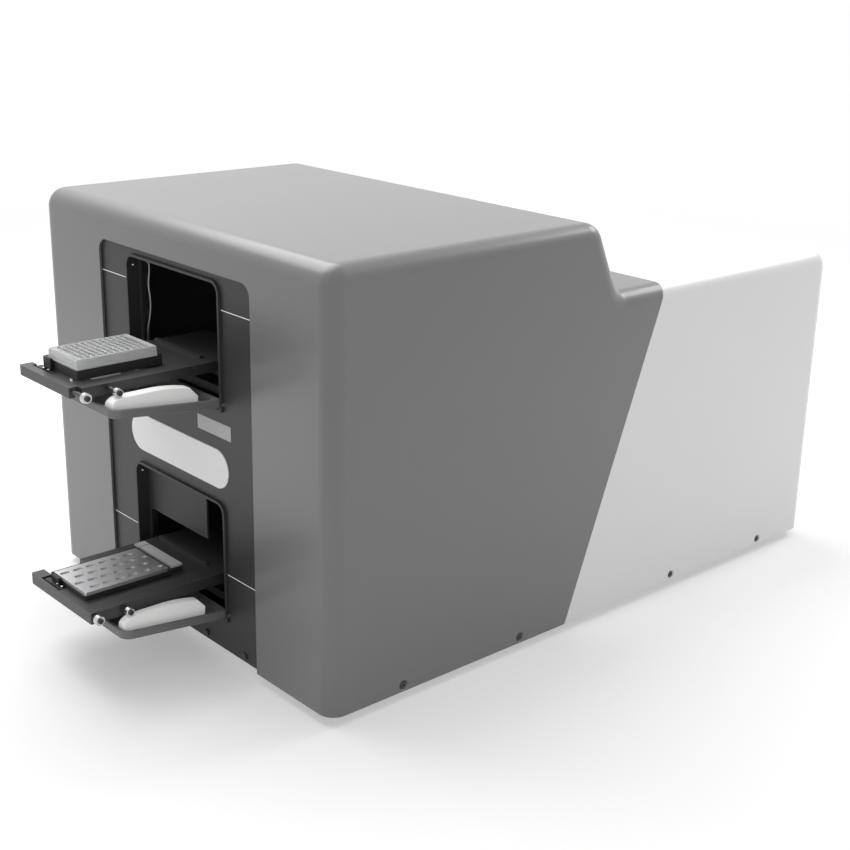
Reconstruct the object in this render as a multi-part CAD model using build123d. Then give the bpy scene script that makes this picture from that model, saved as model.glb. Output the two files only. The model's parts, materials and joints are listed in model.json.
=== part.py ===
from build123d import *
import math
import os
from dataclasses import dataclass

# Raman plate reader: a two-colour cabinet with two drop-down doors in its front.
# x = 0 is the centre plane, y = 0 the front of the hood (rear is +y) and z = 0 the lower
# edge of the covers. Every piece is moved at the end so that the origin lies under the
# middle of the whole object, on the plane that it stands on.

# Covers
COVER_WIDTH = 750.0
COVER_LENGTH = 1105.0
HOOD_TOP = 634.0
REAR_TOP = 522.0
COVER_WALL = 4.0
SIDE_EDGE_R = 25.0
HOOD_FRONT_R = 30.0
HOOD_SLOPE_R = 34.0
HOOD_FOOT_R = 22.0
HOOD_SLOPE_TOP_Y = 506.0
HOOD_SLOPE_FOOT_Y = 557.0
SEAM_FOOT_Y = 465.5
SEAM_RISE = 0.3705
SEAM_GAP = 1.6
LIP_REACH = 12.0
LIP_WALL = 2.0
LIP_CLEAR = 0.4
OVERRUN = 60.0

# Base and feet
BASE_THICK = 16.0
BASE_LIFT = 2.0
BASE_CLEAR = 0.3
FOOT_CLEARANCE = 15.0
FOOT_R = 25.0
FOOT_TAPER = 3.0
FOOT_INSET = 90.0
FOOT_END_INSET = 110.0

# Screws of the covers and the front panel
SCREW_R = 2.5
SCREW_DEPTH = 10.0
SCREW_HEAD_R = 5.5
SCREW_HEAD = 2.6
SCREW_HEAD_SUNK = 0.3
SCREW_EDGE = 1.2
SOCKET_R = 1.8
SOCKET_DEPTH = 1.3
DIMPLE_R = 8.0
COVER_SCREW_Z = 10.0
FRONT_SCREW_Y = (132.0, 367.0)
REAR_SCREW_INSET = (376.0, 133.0)

# Front panel behind the hood's cut-out
CUT_HALF_WIDTH = 200.0
CUT_DROP = 54.0
CUT_R = 20.0
PANEL_FACE_Y = 4.7
PANEL_THICK = 4.0
PANEL_LAP = 12.0
PANEL_FOOT_Z = 3.0
PANEL_SCREW_X = (62.0, 163.0)
PANEL_SCREW_Z = 12.0
LIGHT_HALF_WIDTH = 133.0
LIGHT_RISE = 23.7
LIGHT_HEIGHT = 60.0
LIGHT_PROUD = 1.2
LIGHT_FLANGE = 6.0
LIGHT_FLANGE_THICK = 3.0
FIT_GAP = 0.3

# Bays, their collars and the bulkhead behind them
BAY_HALF_WIDTH = 120.0
BAY_HEIGHT = 181.5
BAY_CORNER_R = 15.0
BAY_FLOOR_R = 1.0
COLLAR_WALL = 4.0
COLLAR_FRONT_Y = 0.5
BULKHEAD_Y = 20.0
BULKHEAD_THICK = 3.0
BULKHEAD_HALF_WIDTH = 198.0
BULKHEAD_RISE = 20.0
WINDOW_SIDE_STEP = 7.0
WINDOW_DROP = 8.0
WINDOW_R = 8.0
TONGUE_RIGHT_X = 48.0
TONGUE_REACH = 79.8
TONGUE_SIDE_FLOOR = 20.0
CATCH_Y = 12.0
CATCH_DROP = 16.0
CATCH_R = 2.5
CATCH_BALL_R = 2.0
CATCH_DEPTH = 8.0

# Doors
DOOR_LENGTH = 172.5
DOOR_SIDE_GAP = 1.5
DOOR_HALF_THICK = 6.5
DOOR_SKIN = 4.0
DOOR_RIM = 4.0
DOOR_TIP_R = 15.0
DOOR_EDGE_R = 2.5
DOOR_HINGE_BLOCK = 10.0
DOOR_TILT = 6.0
DOOR_UNDER_GAP = 1.2
PIVOT_Y = 4.0
PIN_R = 2.5
PIN_RUN = 0.05
PIN_SEAT = 0.02
PIN_REACH = 10.0

# Cams on the doors, by their distance v from the pivot along the door
CAM_EDGE_GAP = 12.0
CAM_WIDTH = 22.0
CAM_SIDE_GAP = 2.0
CAM_INNER_R = 5.0
CAM_OUTER_R = 1.5
CAM_HEEL_RISE = 0.5
CAM_HINGE_V = 31.0
CAM_CROWN_V = (45.0, 78.0)
CAM_FLAT_V = (104.0, 150.0)
CAM_NOSE_V = 160.0
CAM_TIP_V = 166.0
CAM_CROWN_RISE = 1.4
CAM_HEEL_DROP = 13.4
CAM_NOSE_DROP = 2.8
CAM_TIP_DROP = 8.0
CAM_ROLLER_GAP = 0.3

# Trays
TRAY_FRONT_Y = -201.5
TRAY_REAR_Y = 108.0
TRAY_BAR = 20.0
TRAY_BAR_R = 2.0
TRAY_BACKBONE_LEFT = 52.0
TRAY_WIDEN_Y = -122.0
TRAY_WINDOW_HALF = 31.0
TRAY_WINDOW_Y = (-170.0, -58.0)
TRAY_RIB_Y = 14.0
TRAY_RIB = 6.0
TRAY_RIB_HEIGHT = 4.0
TRAY_RIB_RIGHT = 52.0
FINGER_NOTCH_X = (-42.0, 50.5)
FINGER_NOTCH_Y = ((-157.0, -103.0), (-89.0, -45.0))
FINGER_NOTCH_DEPTH = 8.0

# Rollers on the trays
ROLLER_REAR_Y = -148.0
ROLLER_FRONT_Y = -196.0
ROLLER_REAR_R = 6.25
ROLLER_FRONT_R = 7.5
ROLLER_EDGE = 0.8
ROLLER_DROP = 7.5
ROLLER_WIDTH = 8.0
ROLLER_INSET = 2.0
ROLLER_END_GAP = 0.3
STUD_R = 2.5
STUD_SHOULDER = 1.0
STUD_DEPTH = 12.0
STUD_HEAD_R = 4.0
STUD_HEAD = 1.6
STUD_SOCKET_R = 2.0

# Nests and clamps, which hold the sample plates on the trays
NEST_LEFT_STEP = 12.0
NEST_LEFT_LIP = 5.0
NEST_RIGHT = 1.0
NEST_FRONT = 1.0
NEST_REAR = 6.0
NEST_LIP = 2.5
NEST_LIP_REAR = 5.0
NEST_LEDGE = 6.0
NEST_R = 3.0
HOLDER_GAP = 0.4
CLAMP_X = (-60.0, -12.0)
CLAMP_DEPTH = 9.0
CLAMP_POCKET = 9.0
CLAMP_SIDE_GAP = 4.0
CLAMP_STROKE = 3.0
CLAMP_FINGER = 4.0
CLAMP_FINGER_INSET = 14.0

# Sample plates
PLATE_LENGTH = 127.76
PLATE_WIDTH = 85.48
PLATE_HEIGHT = 14.35
PLATE_SKIRT = 2.4
PLATE_STEP = 1.3
PLATE_WALL = 3.0
WELL_PITCH = 9.0
WELL_R = 3.3
WELL_DEPTH = 10.9
WELL_ROWS = 12
WELL_COLUMNS = 8
ADAPTER_LENGTH = 137.0
ADAPTER_WIDTH = 94.0
ADAPTER_THICK = 5.0
POCKET_LENGTH = 15.0
POCKET_WIDTH = 7.5
POCKET_DEPTH = 3.0
POCKET_COLUMNS = 4
POCKET_ROWS = 6
POCKET_PITCH = (22.0, 21.0)
POCKET_STAGGER = 6.0
REF_BAR_X = (-63.0, 45.0)
REF_BAR_DEPTH = 18.0
REF_BAR_GAP = 1.0
REF_BAR_THICK = 3.0
REF_SPLIT_X = -48.0

# Stages: deck, rails, carriage and drive screw
STACK_HEIGHT = 22.4
DECK_THICK = 12.0
DECK_Y = (26.0, 500.0)
DECK_SIDE_GAP = 0.5
RAIL_X = 100.0
RAIL_WIDTH = 12.0
RAIL_HEIGHT = 10.0
RAIL_END_GAP = 12.0
RAIL_RUN = 0.05
CARRIAGE_PLATE = 8.0
CARRIAGE_Y = (30.0, 110.0)
BEARING_HALF_WIDTH = 17.0
BEARING_INSET = 10.0
BEARING_GAP = 0.6
DRIVE_X = 133.0
DRIVE_R = 5.0
DRIVE_RUN = 0.06
DRIVE_RISE = 7.0
DRIVE_END_GAP = 1.0
NUT_HALF_WIDTH = 12.0
SUPPORT_HALF_WIDTH = 14.0
SUPPORT_GAP = 1.0
SUPPORT_Y = ((26.0, 36.0), (484.0, 500.0))
MOTOR_SIZE = 56.0
MOTOR_LENGTH = 56.0
MOTOR_EDGE = 4.0

# Read heads and the beams that they run along
HEAD_Y = 170.0
BEAM_HALF_DEPTH = 25.0
BEAM_HALF_WIDTH = 135.0
BEAM_DROP = 8.0
LOWER_BEAM_RISE = 2.7
LOWER_BEAM_HEIGHT = 22.0
HEAD_RUN = 0.3
HEAD_HALF = 24.0
HEAD_HEIGHT = 22.0
HEAD_SLOT_HALF = 85.0
HEAD_SLOT_R = 6.0
NOSE_R = 14.0
NOSE_LENGTH = 12.0
NOSE_RISE = 6.0
NOSE_TIP = 4.0

# Tower of bars that carries the decks and beams
BAR_SIZE = 30.0
POST_X = 165.0
POST_Y = (38.0, 485.0)

# Lead in the upper bay, between a clip on the bulkhead and a gland on the deck
LEAD_R = 1.1
LEAD_TOP = 555.0
LEAD_HANG = ((-97.0, 25.5, 542.0), (-101.5, 25.0, 521.5), (-96.5, 25.5, 497.0), (-101.0, 26.0, 472.0),
             (-112.5, 27.5, 448.0))
LEAD_FOOT = (-121.0, 32.0)
LEAD_FOOT_RUN = 22.0
CLIP_HALF = 5.0
CLIP_HEIGHT = 8.0
GLAND_R = 3.5
GLAND_HEIGHT = 4.0

# Optics and electronics in the rear half
OPTICS_GAP = 14.0
OPTICS_SIDE_ROOM = 41.0
OPTICS_SNOUT = 30.0
LASER_LEFT_X = 40.0
LASER_HEIGHT = 102.0
LASER_REAR_ROOM = 201.0
LASER_SNOUT_R = 16.0
LASER_SNOUT_Z = 70.0
LASER_SNOUT_SIDE = 60.0
FIN_THICK = 4.0
FIN_PITCH = 24.0
FIN_HEIGHT = 30.0
FIN_MARGIN = 10.0
SPECTRO_RIGHT_X = -20.0
SPECTRO_HEIGHT = 170.0
SPECTRO_REAR_ROOM = 101.0
SPECTRO_TAPER = 50.0
SPECTRO_FLAT = 160.0
SPECTRO_EDGE = 6.0
SLIT_PORT_R = 24.0
DETECTOR_SIDE = 80.0
DETECTOR_Z = 110.0
DETECTOR_SIZE = 100.0
DETECTOR_LENGTH = 60.0
DETECTOR_NECK_R = 40.0
DETECTOR_NECK = 15.0
SUPPLY_SIZE = (140.0, 155.0, 72.0)
SUPPLY_REAR_ROOM = 21.0
SUPPLY_SIDE_GAP = 25.0
VENT_PITCH = 15.0
VENT_WIDTH = 6.0
VENT_DEPTH = 2.0
VENT_MARGIN = 15.0
BOARD_SIZE = (120.0, 150.0, 2.0)
BOARD_RISE = 12.0
BOARD_POST_R = 4.0
BOARD_POST_INSET = 10.0
BOARD_SIDE_ROOM = 26.0
CHIP_SIZE = (30.0, 30.0, 3.0)
HEADER_SIZE = (90.0, 10.0, 10.0)

# Rear wall: fans, grilles and the plate with the sockets
FAN_X = 150.0
FAN_Z = 400.0
FAN_SIZE = 120.0
FAN_THICK = 25.0
FAN_CORNER_R = 6.0
FAN_BORE_R = 56.0
FAN_HUB_R = 20.0
FAN_HUB_BACK = 4.0
FAN_ARM = 6.0
FAN_SHAFT_R = 2.0
FAN_SHAFT_END = 6.0
FAN_RUN = 0.06
FAN_BLADES = 7
BLADE_PITCH = 52.0
BLADE_CHORD = 16.0
BLADE_THICK = 1.6
BLADE_TIP_GAP = 2.0
ROTOR_FRONT_GAP = 1.0
ROTOR_REAR_GAP = 3.0
GRILLE_THICK = 3.0
GRILLE_RINGS = (18.0, 37.0)
GRILLE_WIRE = 3.0
IO_X = (50.0, 270.0)
IO_Z = (60.0, 160.0)
IO_R = 4.0
IO_LAP = 10.0
IO_PLATE = 2.0
IO_GAP = 0.3
SOCKET_Z = 110.0
INLET_X = 230.0
INLET_FLANGE = (50.0, 30.0)
INLET_FLANGE_THICK = 2.5
INLET_BODY = (27.4, 19.4)
INLET_CAVITY = (23.0, 15.0)
INLET_DEPTH = 26.0
INLET_CAVITY_DEPTH = 17.0
INLET_PIN = (2.0, 4.0)
INLET_PIN_PLACES = ((-7.0, -1.0), (0.0, 2.5), (7.0, -1.0))
SWITCH_X = 180.0
SWITCH_BEZEL = (26.0, 34.0)
SWITCH_BEZEL_THICK = 1.5
SWITCH_BODY = (22.0, 30.0)
SWITCH_CAVITY = (17.2, 28.4)
SWITCH_DEPTH = 12.0
SWITCH_CAVITY_DEPTH = 10.0
ROCKER_HALF_WIDTH = 8.0
ROCKER_HALF_HEIGHT = 13.0
ROCKER_FACE = 5.0
ROCKER_BACK = 4.0
ROCKER_DIP = 1.0
ROCKER_PIN_R = 1.5
ROCKER_PIN_DEPTH = 1.5
ROCKER_TIP = 7.0
PORT_X = (80.0, 105.0, 130.0)
PORT_SHELL = (15.4, 13.4)
PORT_CAVITY = (12.0, 10.0)
PORT_DEPTH = 16.0
PORT_CAVITY_DEPTH = 12.0
PORT_PROUD = 2.0

INNER_HALF = COVER_WIDTH / 2 - COVER_WALL
BASE_TOP = BASE_LIFT + BASE_THICK
CUT_TOP = HOOD_TOP - CUT_DROP
BULKHEAD_TOP = CUT_TOP + BULKHEAD_RISE
WINDOW_HALF = BAY_HALF_WIDTH - WINDOW_SIDE_STEP
PANEL_BACK_Y = PANEL_FACE_Y + PANEL_THICK
REAR_INNER_Y = COVER_LENGTH - COVER_WALL
REAR_SCREW_Y = tuple(COVER_LENGTH - inset for inset in REAR_SCREW_INSET)
CAM_OUTER_X = BAY_HALF_WIDTH - CAM_EDGE_GAP
ROLLER_X = (CAM_OUTER_X - ROLLER_INSET - ROLLER_WIDTH, CAM_OUTER_X - ROLLER_INSET)
ROLLERS = ((ROLLER_FRONT_Y, ROLLER_FRONT_R), (ROLLER_REAR_Y, ROLLER_REAR_R))
POST_INNER_X = POST_X - BAR_SIZE / 2
BEARING_Y = (CARRIAGE_Y[0] + BEARING_INSET, CARRIAGE_Y[1] - BEARING_INSET)
OPTICS_FRONT_Y = SUPPORT_Y[1][1] + MOTOR_LENGTH + OPTICS_GAP
BOARD_RIGHT_X = INNER_HALF - BOARD_SIDE_ROOM
FRONT_REACH_Y = min(TRAY_FRONT_Y, ROLLER_FRONT_Y - ROLLER_FRONT_R)
FRONT_Y = -(COVER_LENGTH + GRILLE_THICK + FRONT_REACH_Y) / 2


@dataclass(frozen=True)
class Bay:
    """One sample bay: where its door turns, how its tray lies and what the tray holds."""
    name: str
    pivot_z: float
    tray_rise: float
    tray_thick: float
    tray_half: float
    corner_step: float
    holder_length: float
    holder_width: float
    holder_y: float
    seat_rise: float

    @property
    def floor_z(self):
        """Lower inner face of the bay's collar."""
        return self.pivot_z - DOOR_HALF_THICK - DOOR_UNDER_GAP

    @property
    def ceiling_z(self):
        """Upper inner face of the bay's collar."""
        return self.floor_z + BAY_HEIGHT

    @property
    def tray_top(self):
        """Upper face of the tray."""
        return self.pivot_z + self.tray_rise

    @property
    def tray_bottom(self):
        """Underside of the tray, which sits on the carriage."""
        return self.tray_top - self.tray_thick

    @property
    def deck_top(self):
        """Top of the deck plate that the rails are screwed to."""
        return self.tray_bottom - STACK_HEIGHT

    @property
    def deck_bottom(self):
        """Underside of the deck plate."""
        return self.deck_top - DECK_THICK

    @property
    def drive_z(self):
        """Height of the drive screw's axis."""
        return self.deck_top + DRIVE_RISE

    @property
    def roller_z(self):
        """Height of the roller axles."""
        return self.tray_top - ROLLER_DROP

    @property
    def seat_z(self):
        """Height at which the sample plate sits in its nest."""
        return self.tray_top + self.seat_rise

    @property
    def holder_front(self):
        """Front edge of the sample plate."""
        return self.holder_y - self.holder_length / 2

    @property
    def holder_rear(self):
        """Rear edge of the sample plate."""
        return self.holder_y + self.holder_length / 2


UPPER = Bay(name="upper", pivot_z=HOOD_TOP - 241.8, tray_rise=50.2, tray_thick=15.0, tray_half=77.0,
            corner_step=11.0, holder_length=PLATE_LENGTH, holder_width=PLATE_WIDTH, holder_y=-112.0,
            seat_rise=13.6)
LOWER = Bay(name="lower", pivot_z=63.5, tray_rise=53.5, tray_thick=17.0, tray_half=89.0,
            corner_step=0.0, holder_length=ADAPTER_LENGTH, holder_width=ADAPTER_WIDTH, holder_y=-117.5,
            seat_rise=7.0)
BAYS = (UPPER, LOWER)
LIGHT_Z = (LOWER.ceiling_z + LIGHT_RISE, LOWER.ceiling_z + LIGHT_RISE + LIGHT_HEIGHT)
UPPER_BEAM_TOP = UPPER.deck_bottom - BEAM_DROP
LOWER_BEAM_LOW = LOWER.ceiling_z + LOWER_BEAM_RISE


# Helpers

def block(x0, x1, y0, y1, z0, z1):
    """A box between two corners."""
    centre = Pos((x0 + x1) / 2, (y0 + y1) / 2, (z0 + z1) / 2)
    return centre * Box(x1 - x0, y1 - y0, z1 - z0)


def both_sides(solid):
    """A piece and its mirror image across the centre plane, as separate solids."""
    return [solid, mirror(solid, about=Plane.YZ)]


def across(x0, x1, z0, z1, radius, y0, y1):
    """A plate that stands across the machine: a rounded rectangle in X and Z from y0 to y1."""
    face = RectangleRounded(x1 - x0, z1 - z0, radius)
    placed = Pos((x0 + x1) / 2, y0, (z0 + z1) / 2) * Rot(X=90) * face
    return extrude(placed, amount=y1 - y0, dir=(0, 1, 0))


def socket_plate(x, size, radius, y0, y1, gap=0.0):
    """A plate across the machine at the height of the sockets, grown all round by a gap."""
    half_width, half_height = size[0] / 2 + gap, size[1] / 2 + gap
    return across(x - half_width, x + half_width, SOCKET_Z - half_height, SOCKET_Z + half_height,
                  radius, y0, y1)


def level(x0, x1, y0, y1, radius, z0, z1):
    """A plate that lies level: a rounded rectangle in X and Y from z0 to z1."""
    face = Pos((x0 + x1) / 2, (y0 + y1) / 2, z0) * RectangleRounded(x1 - x0, y1 - y0, radius)
    return extrude(face, amount=z1 - z0)


def rod_x(x0, x1, y, z, radius):
    """A round bar along X."""
    return Pos((x0 + x1) / 2, y, z) * Rot(Y=90) * Cylinder(radius, x1 - x0)


def rod_y(x, y0, y1, z, radius):
    """A round bar along Y."""
    return Pos(x, (y0 + y1) / 2, z) * Rot(X=90) * Cylinder(radius, y1 - y0)


def rod_z(x, y, z0, z1, radius):
    """A round bar along Z."""
    return Pos(x, y, (z0 + z1) / 2) * Cylinder(radius, z1 - z0)


def hex_socket(x, y, z, radius, depth):
    """A hexagon socket that opens towards the right."""
    face = Pos(x - depth, y, z) * Rot(Y=90) * RegularPolygon(radius, 6)
    return extrude(face, amount=2 * depth)


def side_profile(points, half_width):
    """A closed outline of (y, z) points, extruded across the machine."""
    face = make_face(Plane.YZ * Polyline(*points, close=True))
    return extrude(face, amount=half_width, both=True)


def cross_edges(solid, y, z):
    """The edges that run along X through one (y, z) point."""
    return [edge for edge in solid.edges().filter_by(Axis.X)
            if abs(edge.center().Y - y) < 0.01 and abs(edge.center().Z - z) < 0.01]


def side_edges(solid, half_width, far_y, low_z):
    """The edges of both side faces, apart from those on the ends that are cut off later."""
    chosen = []
    for edge in solid.edges():
        box = edge.bounding_box()
        on_side = abs(abs(box.min.X) - half_width) < 0.01 and box.size.X < 0.01
        at_end = all(abs(value - far_y) < 0.01 for value in (box.min.Y, box.max.Y))
        at_foot = all(abs(value - low_z) < 0.01 for value in (box.min.Z, box.max.Z))
        if on_side and not at_end and not at_foot:
            chosen.append(edge)
    return chosen


# Covers

def hood_form(inset):
    """The hood's outer form, or its inner form when inset by the wall, run on past its ends."""
    top, shoulder = HOOD_TOP - inset, REAR_TOP - inset
    slope = math.atan2(HOOD_TOP - REAR_TOP, HOOD_SLOPE_FOOT_Y - HOOD_SLOPE_TOP_Y)
    slope_shift = inset * math.tan(slope / 2)
    top_y = HOOD_SLOPE_TOP_Y - slope_shift
    foot_y = HOOD_SLOPE_FOOT_Y - slope_shift
    far_y, low_z = COVER_LENGTH + OVERRUN, -OVERRUN
    half = COVER_WIDTH / 2 - inset
    form = side_profile([(inset, low_z), (inset, top), (top_y, top), (foot_y, shoulder),
                         (far_y, shoulder), (far_y, low_z)], half)
    form = fillet(cross_edges(form, inset, top), HOOD_FRONT_R - inset)
    form = fillet(cross_edges(form, top_y, top), HOOD_SLOPE_R - inset)
    form = fillet(cross_edges(form, foot_y, shoulder), HOOD_FOOT_R + inset)
    return fillet(side_edges(form, half, far_y, low_z), SIDE_EDGE_R - inset)


def rear_form(inset):
    """The rear cover's outer or inner form, run on past its open ends."""
    front_y, low_z = -OVERRUN, -OVERRUN
    back_y, top = COVER_LENGTH - inset, REAR_TOP - inset
    half = COVER_WIDTH / 2 - inset
    form = side_profile([(front_y, low_z), (front_y, top), (back_y, top), (back_y, low_z)], half)
    form = fillet(cross_edges(form, back_y, top), HOOD_FRONT_R - inset)
    return fillet(side_edges(form, half, front_y, low_z), SIDE_EDGE_R - inset)


def seam_y(z):
    """Where the slanting seam between the covers crosses a height."""
    return SEAM_FOOT_Y + SEAM_RISE * z


def seam_band(near, far, low=-OVERRUN):
    """The space between two planes parallel to the seam, above one height."""
    high = HOOD_TOP + OVERRUN
    return side_profile([(seam_y(low) + near, low), (seam_y(high) + near, high),
                         (seam_y(high) + far, high), (seam_y(low) + far, low)], COVER_WIDTH)


def dimples(rows):
    """Countersunk dimples and screw holes through both side walls."""
    outer = COVER_WIDTH / 2
    holes = []
    for y in rows:
        cone = Cone(SCREW_HEAD_R + 2 * FIT_GAP, DIMPLE_R, SCREW_HEAD)
        hole = Pos(outer - SCREW_HEAD / 2, y, COVER_SCREW_Z) * Rot(Y=90) * cone
        hole += rod_x(outer - 2 * COVER_WALL, outer, y, COVER_SCREW_Z, SCREW_R + FIT_GAP)
        holes += both_sides(hole)
    return holes


def front_cover():
    """The grey hood, open below, behind the seam and round the front panel."""
    skin = hood_form(0) - hood_form(COVER_WALL)
    skin &= seam_band(-COVER_LENGTH, 0, low=0)
    skin -= across(-CUT_HALF_WIDTH, CUT_HALF_WIDTH, -OVERRUN, CUT_TOP, CUT_R, -COVER_WALL, 2 * COVER_WALL)
    for hole in dimples(FRONT_SCREW_Y):
        skin -= hole
    return skin


def rear_cover():
    """The white cover, with a lip that reaches under the hood along the seam."""
    lip_outer = COVER_WALL + LIP_CLEAR
    lip_inner = rear_form(lip_outer + LIP_WALL)
    lip_low = BASE_TOP + LIP_CLEAR
    skin = (rear_form(0) - rear_form(COVER_WALL)) & seam_band(SEAM_GAP, COVER_LENGTH, low=0)
    skin += (rear_form(lip_outer) - lip_inner) & seam_band(-LIP_REACH, SEAM_GAP, lip_low)
    skin += (rear_form(COVER_WALL) - lip_inner) & seam_band(SEAM_GAP, LIP_REACH, lip_low)
    front, back = REAR_INNER_Y - COVER_WALL, COVER_LENGTH + COVER_WALL
    for x in (-FAN_X, FAN_X):
        skin -= rod_y(x, front, back, FAN_Z, FAN_BORE_R)
    skin -= across(*IO_X, *IO_Z, IO_R, front, back)
    for hole in dimples(REAR_SCREW_Y):
        skin -= hole
    return skin


def base_plate():
    """The thick plate that everything stands on, with the screws' holes in its edges."""
    half = INNER_HALF - BASE_CLEAR
    plate = level(-half, half, PANEL_BACK_Y, REAR_INNER_Y - BASE_CLEAR, SIDE_EDGE_R - COVER_WALL,
                  BASE_LIFT, BASE_TOP)
    bore = SCREW_R + PIN_RUN
    for y in FRONT_SCREW_Y + REAR_SCREW_Y:
        for hole in both_sides(rod_x(half - SCREW_DEPTH, INNER_HALF, y, COVER_SCREW_Z, bore)):
            plate -= hole
    for x in PANEL_SCREW_X:
        for hole in both_sides(rod_y(x, PANEL_FACE_Y, PANEL_BACK_Y + SCREW_DEPTH, PANEL_SCREW_Z, bore)):
            plate -= hole
    return plate


def rubber_feet():
    """Four short tapered rubber feet under the base plate."""
    foot_x = COVER_WIDTH / 2 - FOOT_INSET
    height = FOOT_CLEARANCE + BASE_LIFT
    foot = Cone(FOOT_R - FOOT_TAPER, FOOT_R, height)
    return [Pos(x, y, BASE_LIFT - height / 2) * foot
            for x in (-foot_x, foot_x) for y in (FOOT_END_INSET, COVER_LENGTH - FOOT_END_INSET)]


def cover_screws():
    """Socket button screws that hold both covers to the edge of the base plate."""
    head_inner, head_outer = COVER_WIDTH / 2 - SCREW_HEAD, COVER_WIDTH / 2 - SCREW_HEAD_SUNK
    tip = INNER_HALF - BASE_CLEAR - SCREW_DEPTH
    screws = []
    for y in FRONT_SCREW_Y + REAR_SCREW_Y:
        head = rod_x(head_inner, head_outer, y, COVER_SCREW_Z, SCREW_HEAD_R)
        head = chamfer(head.edges().group_by(Axis.X)[-1], SCREW_EDGE)
        shank = rod_x(tip, head_inner, y, COVER_SCREW_Z, SCREW_R)
        screws += both_sides(head + shank - hex_socket(head_outer, y, COVER_SCREW_Z, SOCKET_R, SOCKET_DEPTH))
    return screws


# Front panel, bays and bulkhead

def bay_opening(bay, inset, y0, y1):
    """The bay's opening, round above and square below, grown by a negative inset."""
    half, floor = BAY_HALF_WIDTH - inset, bay.floor_z + inset
    arch = across(-half, half, floor, bay.ceiling_z - inset, BAY_CORNER_R - inset, y0, y1)
    return arch + across(-half, half, floor, floor + 2 * BAY_CORNER_R, BAY_FLOOR_R - inset / 2, y0, y1)


def stadium(grow, y0, y1):
    """The light bar's outline with its round ends, standing across the machine."""
    height = LIGHT_HEIGHT + 2 * grow
    face = Pos(0, y0, sum(LIGHT_Z) / 2) * Rot(X=90) * SlotOverall(2 * (LIGHT_HALF_WIDTH + grow), height)
    return extrude(face, amount=y1 - y0, dir=(0, 1, 0))


def front_panel():
    """The dark panel behind the hood's cut-out, with two bay openings and the light bar's slot."""
    half = CUT_HALF_WIDTH + PANEL_LAP
    panel = across(-half, half, PANEL_FOOT_Z, CUT_TOP + PANEL_LAP, CUT_R, PANEL_FACE_Y, PANEL_BACK_Y)
    front, back = PANEL_FACE_Y - PANEL_THICK, PANEL_BACK_Y + PANEL_THICK
    for bay in BAYS:
        panel -= bay_opening(bay, -COLLAR_WALL - FIT_GAP, front, back)
    panel -= stadium(FIT_GAP, front, back)
    for x in PANEL_SCREW_X:
        for hole in both_sides(rod_y(x, front, back, PANEL_SCREW_Z, SCREW_R + FIT_GAP)):
            panel -= hole
    return panel


def panel_screws():
    """Cap screws through the foot of the front panel into the base plate."""
    screws = []
    for x in PANEL_SCREW_X:
        head = rod_y(x, PANEL_FACE_Y - SCREW_HEAD, PANEL_FACE_Y, PANEL_SCREW_Z, SCREW_HEAD_R)
        shank = rod_y(x, PANEL_FACE_Y, PANEL_BACK_Y + SCREW_DEPTH, PANEL_SCREW_Z, SCREW_R)
        screws += both_sides(head + shank)
    return screws


def light_bar():
    """The pale diffuser bar: a lens in the panel's slot with a flange behind it."""
    lens = stadium(0, PANEL_FACE_Y - LIGHT_PROUD, PANEL_BACK_Y)
    lens = chamfer(lens.edges().group_by(Axis.Y)[0], LIGHT_PROUD / 2)
    return lens + stadium(LIGHT_FLANGE, PANEL_BACK_Y, PANEL_BACK_Y + LIGHT_FLANGE_THICK)


def bay_collars():
    """The deep frames of the two bays, bored for the door pins and the catches."""
    collars = []
    span = BAY_HALF_WIDTH + 2 * COLLAR_WALL
    for bay in BAYS:
        ring = bay_opening(bay, -COLLAR_WALL, COLLAR_FRONT_Y, BULKHEAD_Y)
        ring -= bay_opening(bay, 0, COLLAR_FRONT_Y - COLLAR_WALL, BULKHEAD_Y + COLLAR_WALL)
        ring -= rod_x(-span, span, PIVOT_Y, bay.pivot_z, PIN_R + PIN_SEAT)
        ring -= rod_x(-span, span, CATCH_Y, bay.ceiling_z - CATCH_DROP, CATCH_R + PIN_SEAT)
        collars.append(ring)
    return collars


def door_catches():
    """Ball catches in the sides of the collars, near the top."""
    catches = []
    for bay in BAYS:
        z = bay.ceiling_z - CATCH_DROP
        body = rod_x(BAY_HALF_WIDTH, BAY_HALF_WIDTH + COLLAR_WALL + CATCH_DEPTH, CATCH_Y, z, CATCH_R)
        catches += both_sides(body + Pos(BAY_HALF_WIDTH, CATCH_Y, z) * Sphere(CATCH_BALL_R))
    return catches


def door_pins():
    """Hinge pins, fixed in the collars and running in the doors."""
    outer = BAY_HALF_WIDTH + COLLAR_WALL
    inner = BAY_HALF_WIDTH - DOOR_SIDE_GAP - PIN_REACH
    return [pin for bay in BAYS for pin in both_sides(rod_x(inner, outer, PIVOT_Y, bay.pivot_z, PIN_R))]


def bay_bulkhead():
    """The plate behind the collars: a wide upper window and a lower one with a tongue above it."""
    back = BULKHEAD_Y + BULKHEAD_THICK
    plate = across(-BULKHEAD_HALF_WIDTH, BULKHEAD_HALF_WIDTH, BASE_TOP, BULKHEAD_TOP, BULKHEAD_THICK,
                   BULKHEAD_Y, back)
    cut = (WINDOW_R, BULKHEAD_Y - BULKHEAD_THICK, back + BULKHEAD_THICK)
    half = WINDOW_HALF
    plate -= across(-half, half, UPPER.floor_z, UPPER.ceiling_z - WINDOW_DROP, *cut)
    plate -= across(-half, half, LOWER.floor_z, LOWER.ceiling_z - TONGUE_REACH, *cut)
    side_z = (LOWER.floor_z + TONGUE_SIDE_FLOOR, LOWER.ceiling_z - WINDOW_DROP)
    plate -= across(TONGUE_RIGHT_X, half, *side_z, *cut)
    return plate


# Doors and cams

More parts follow.
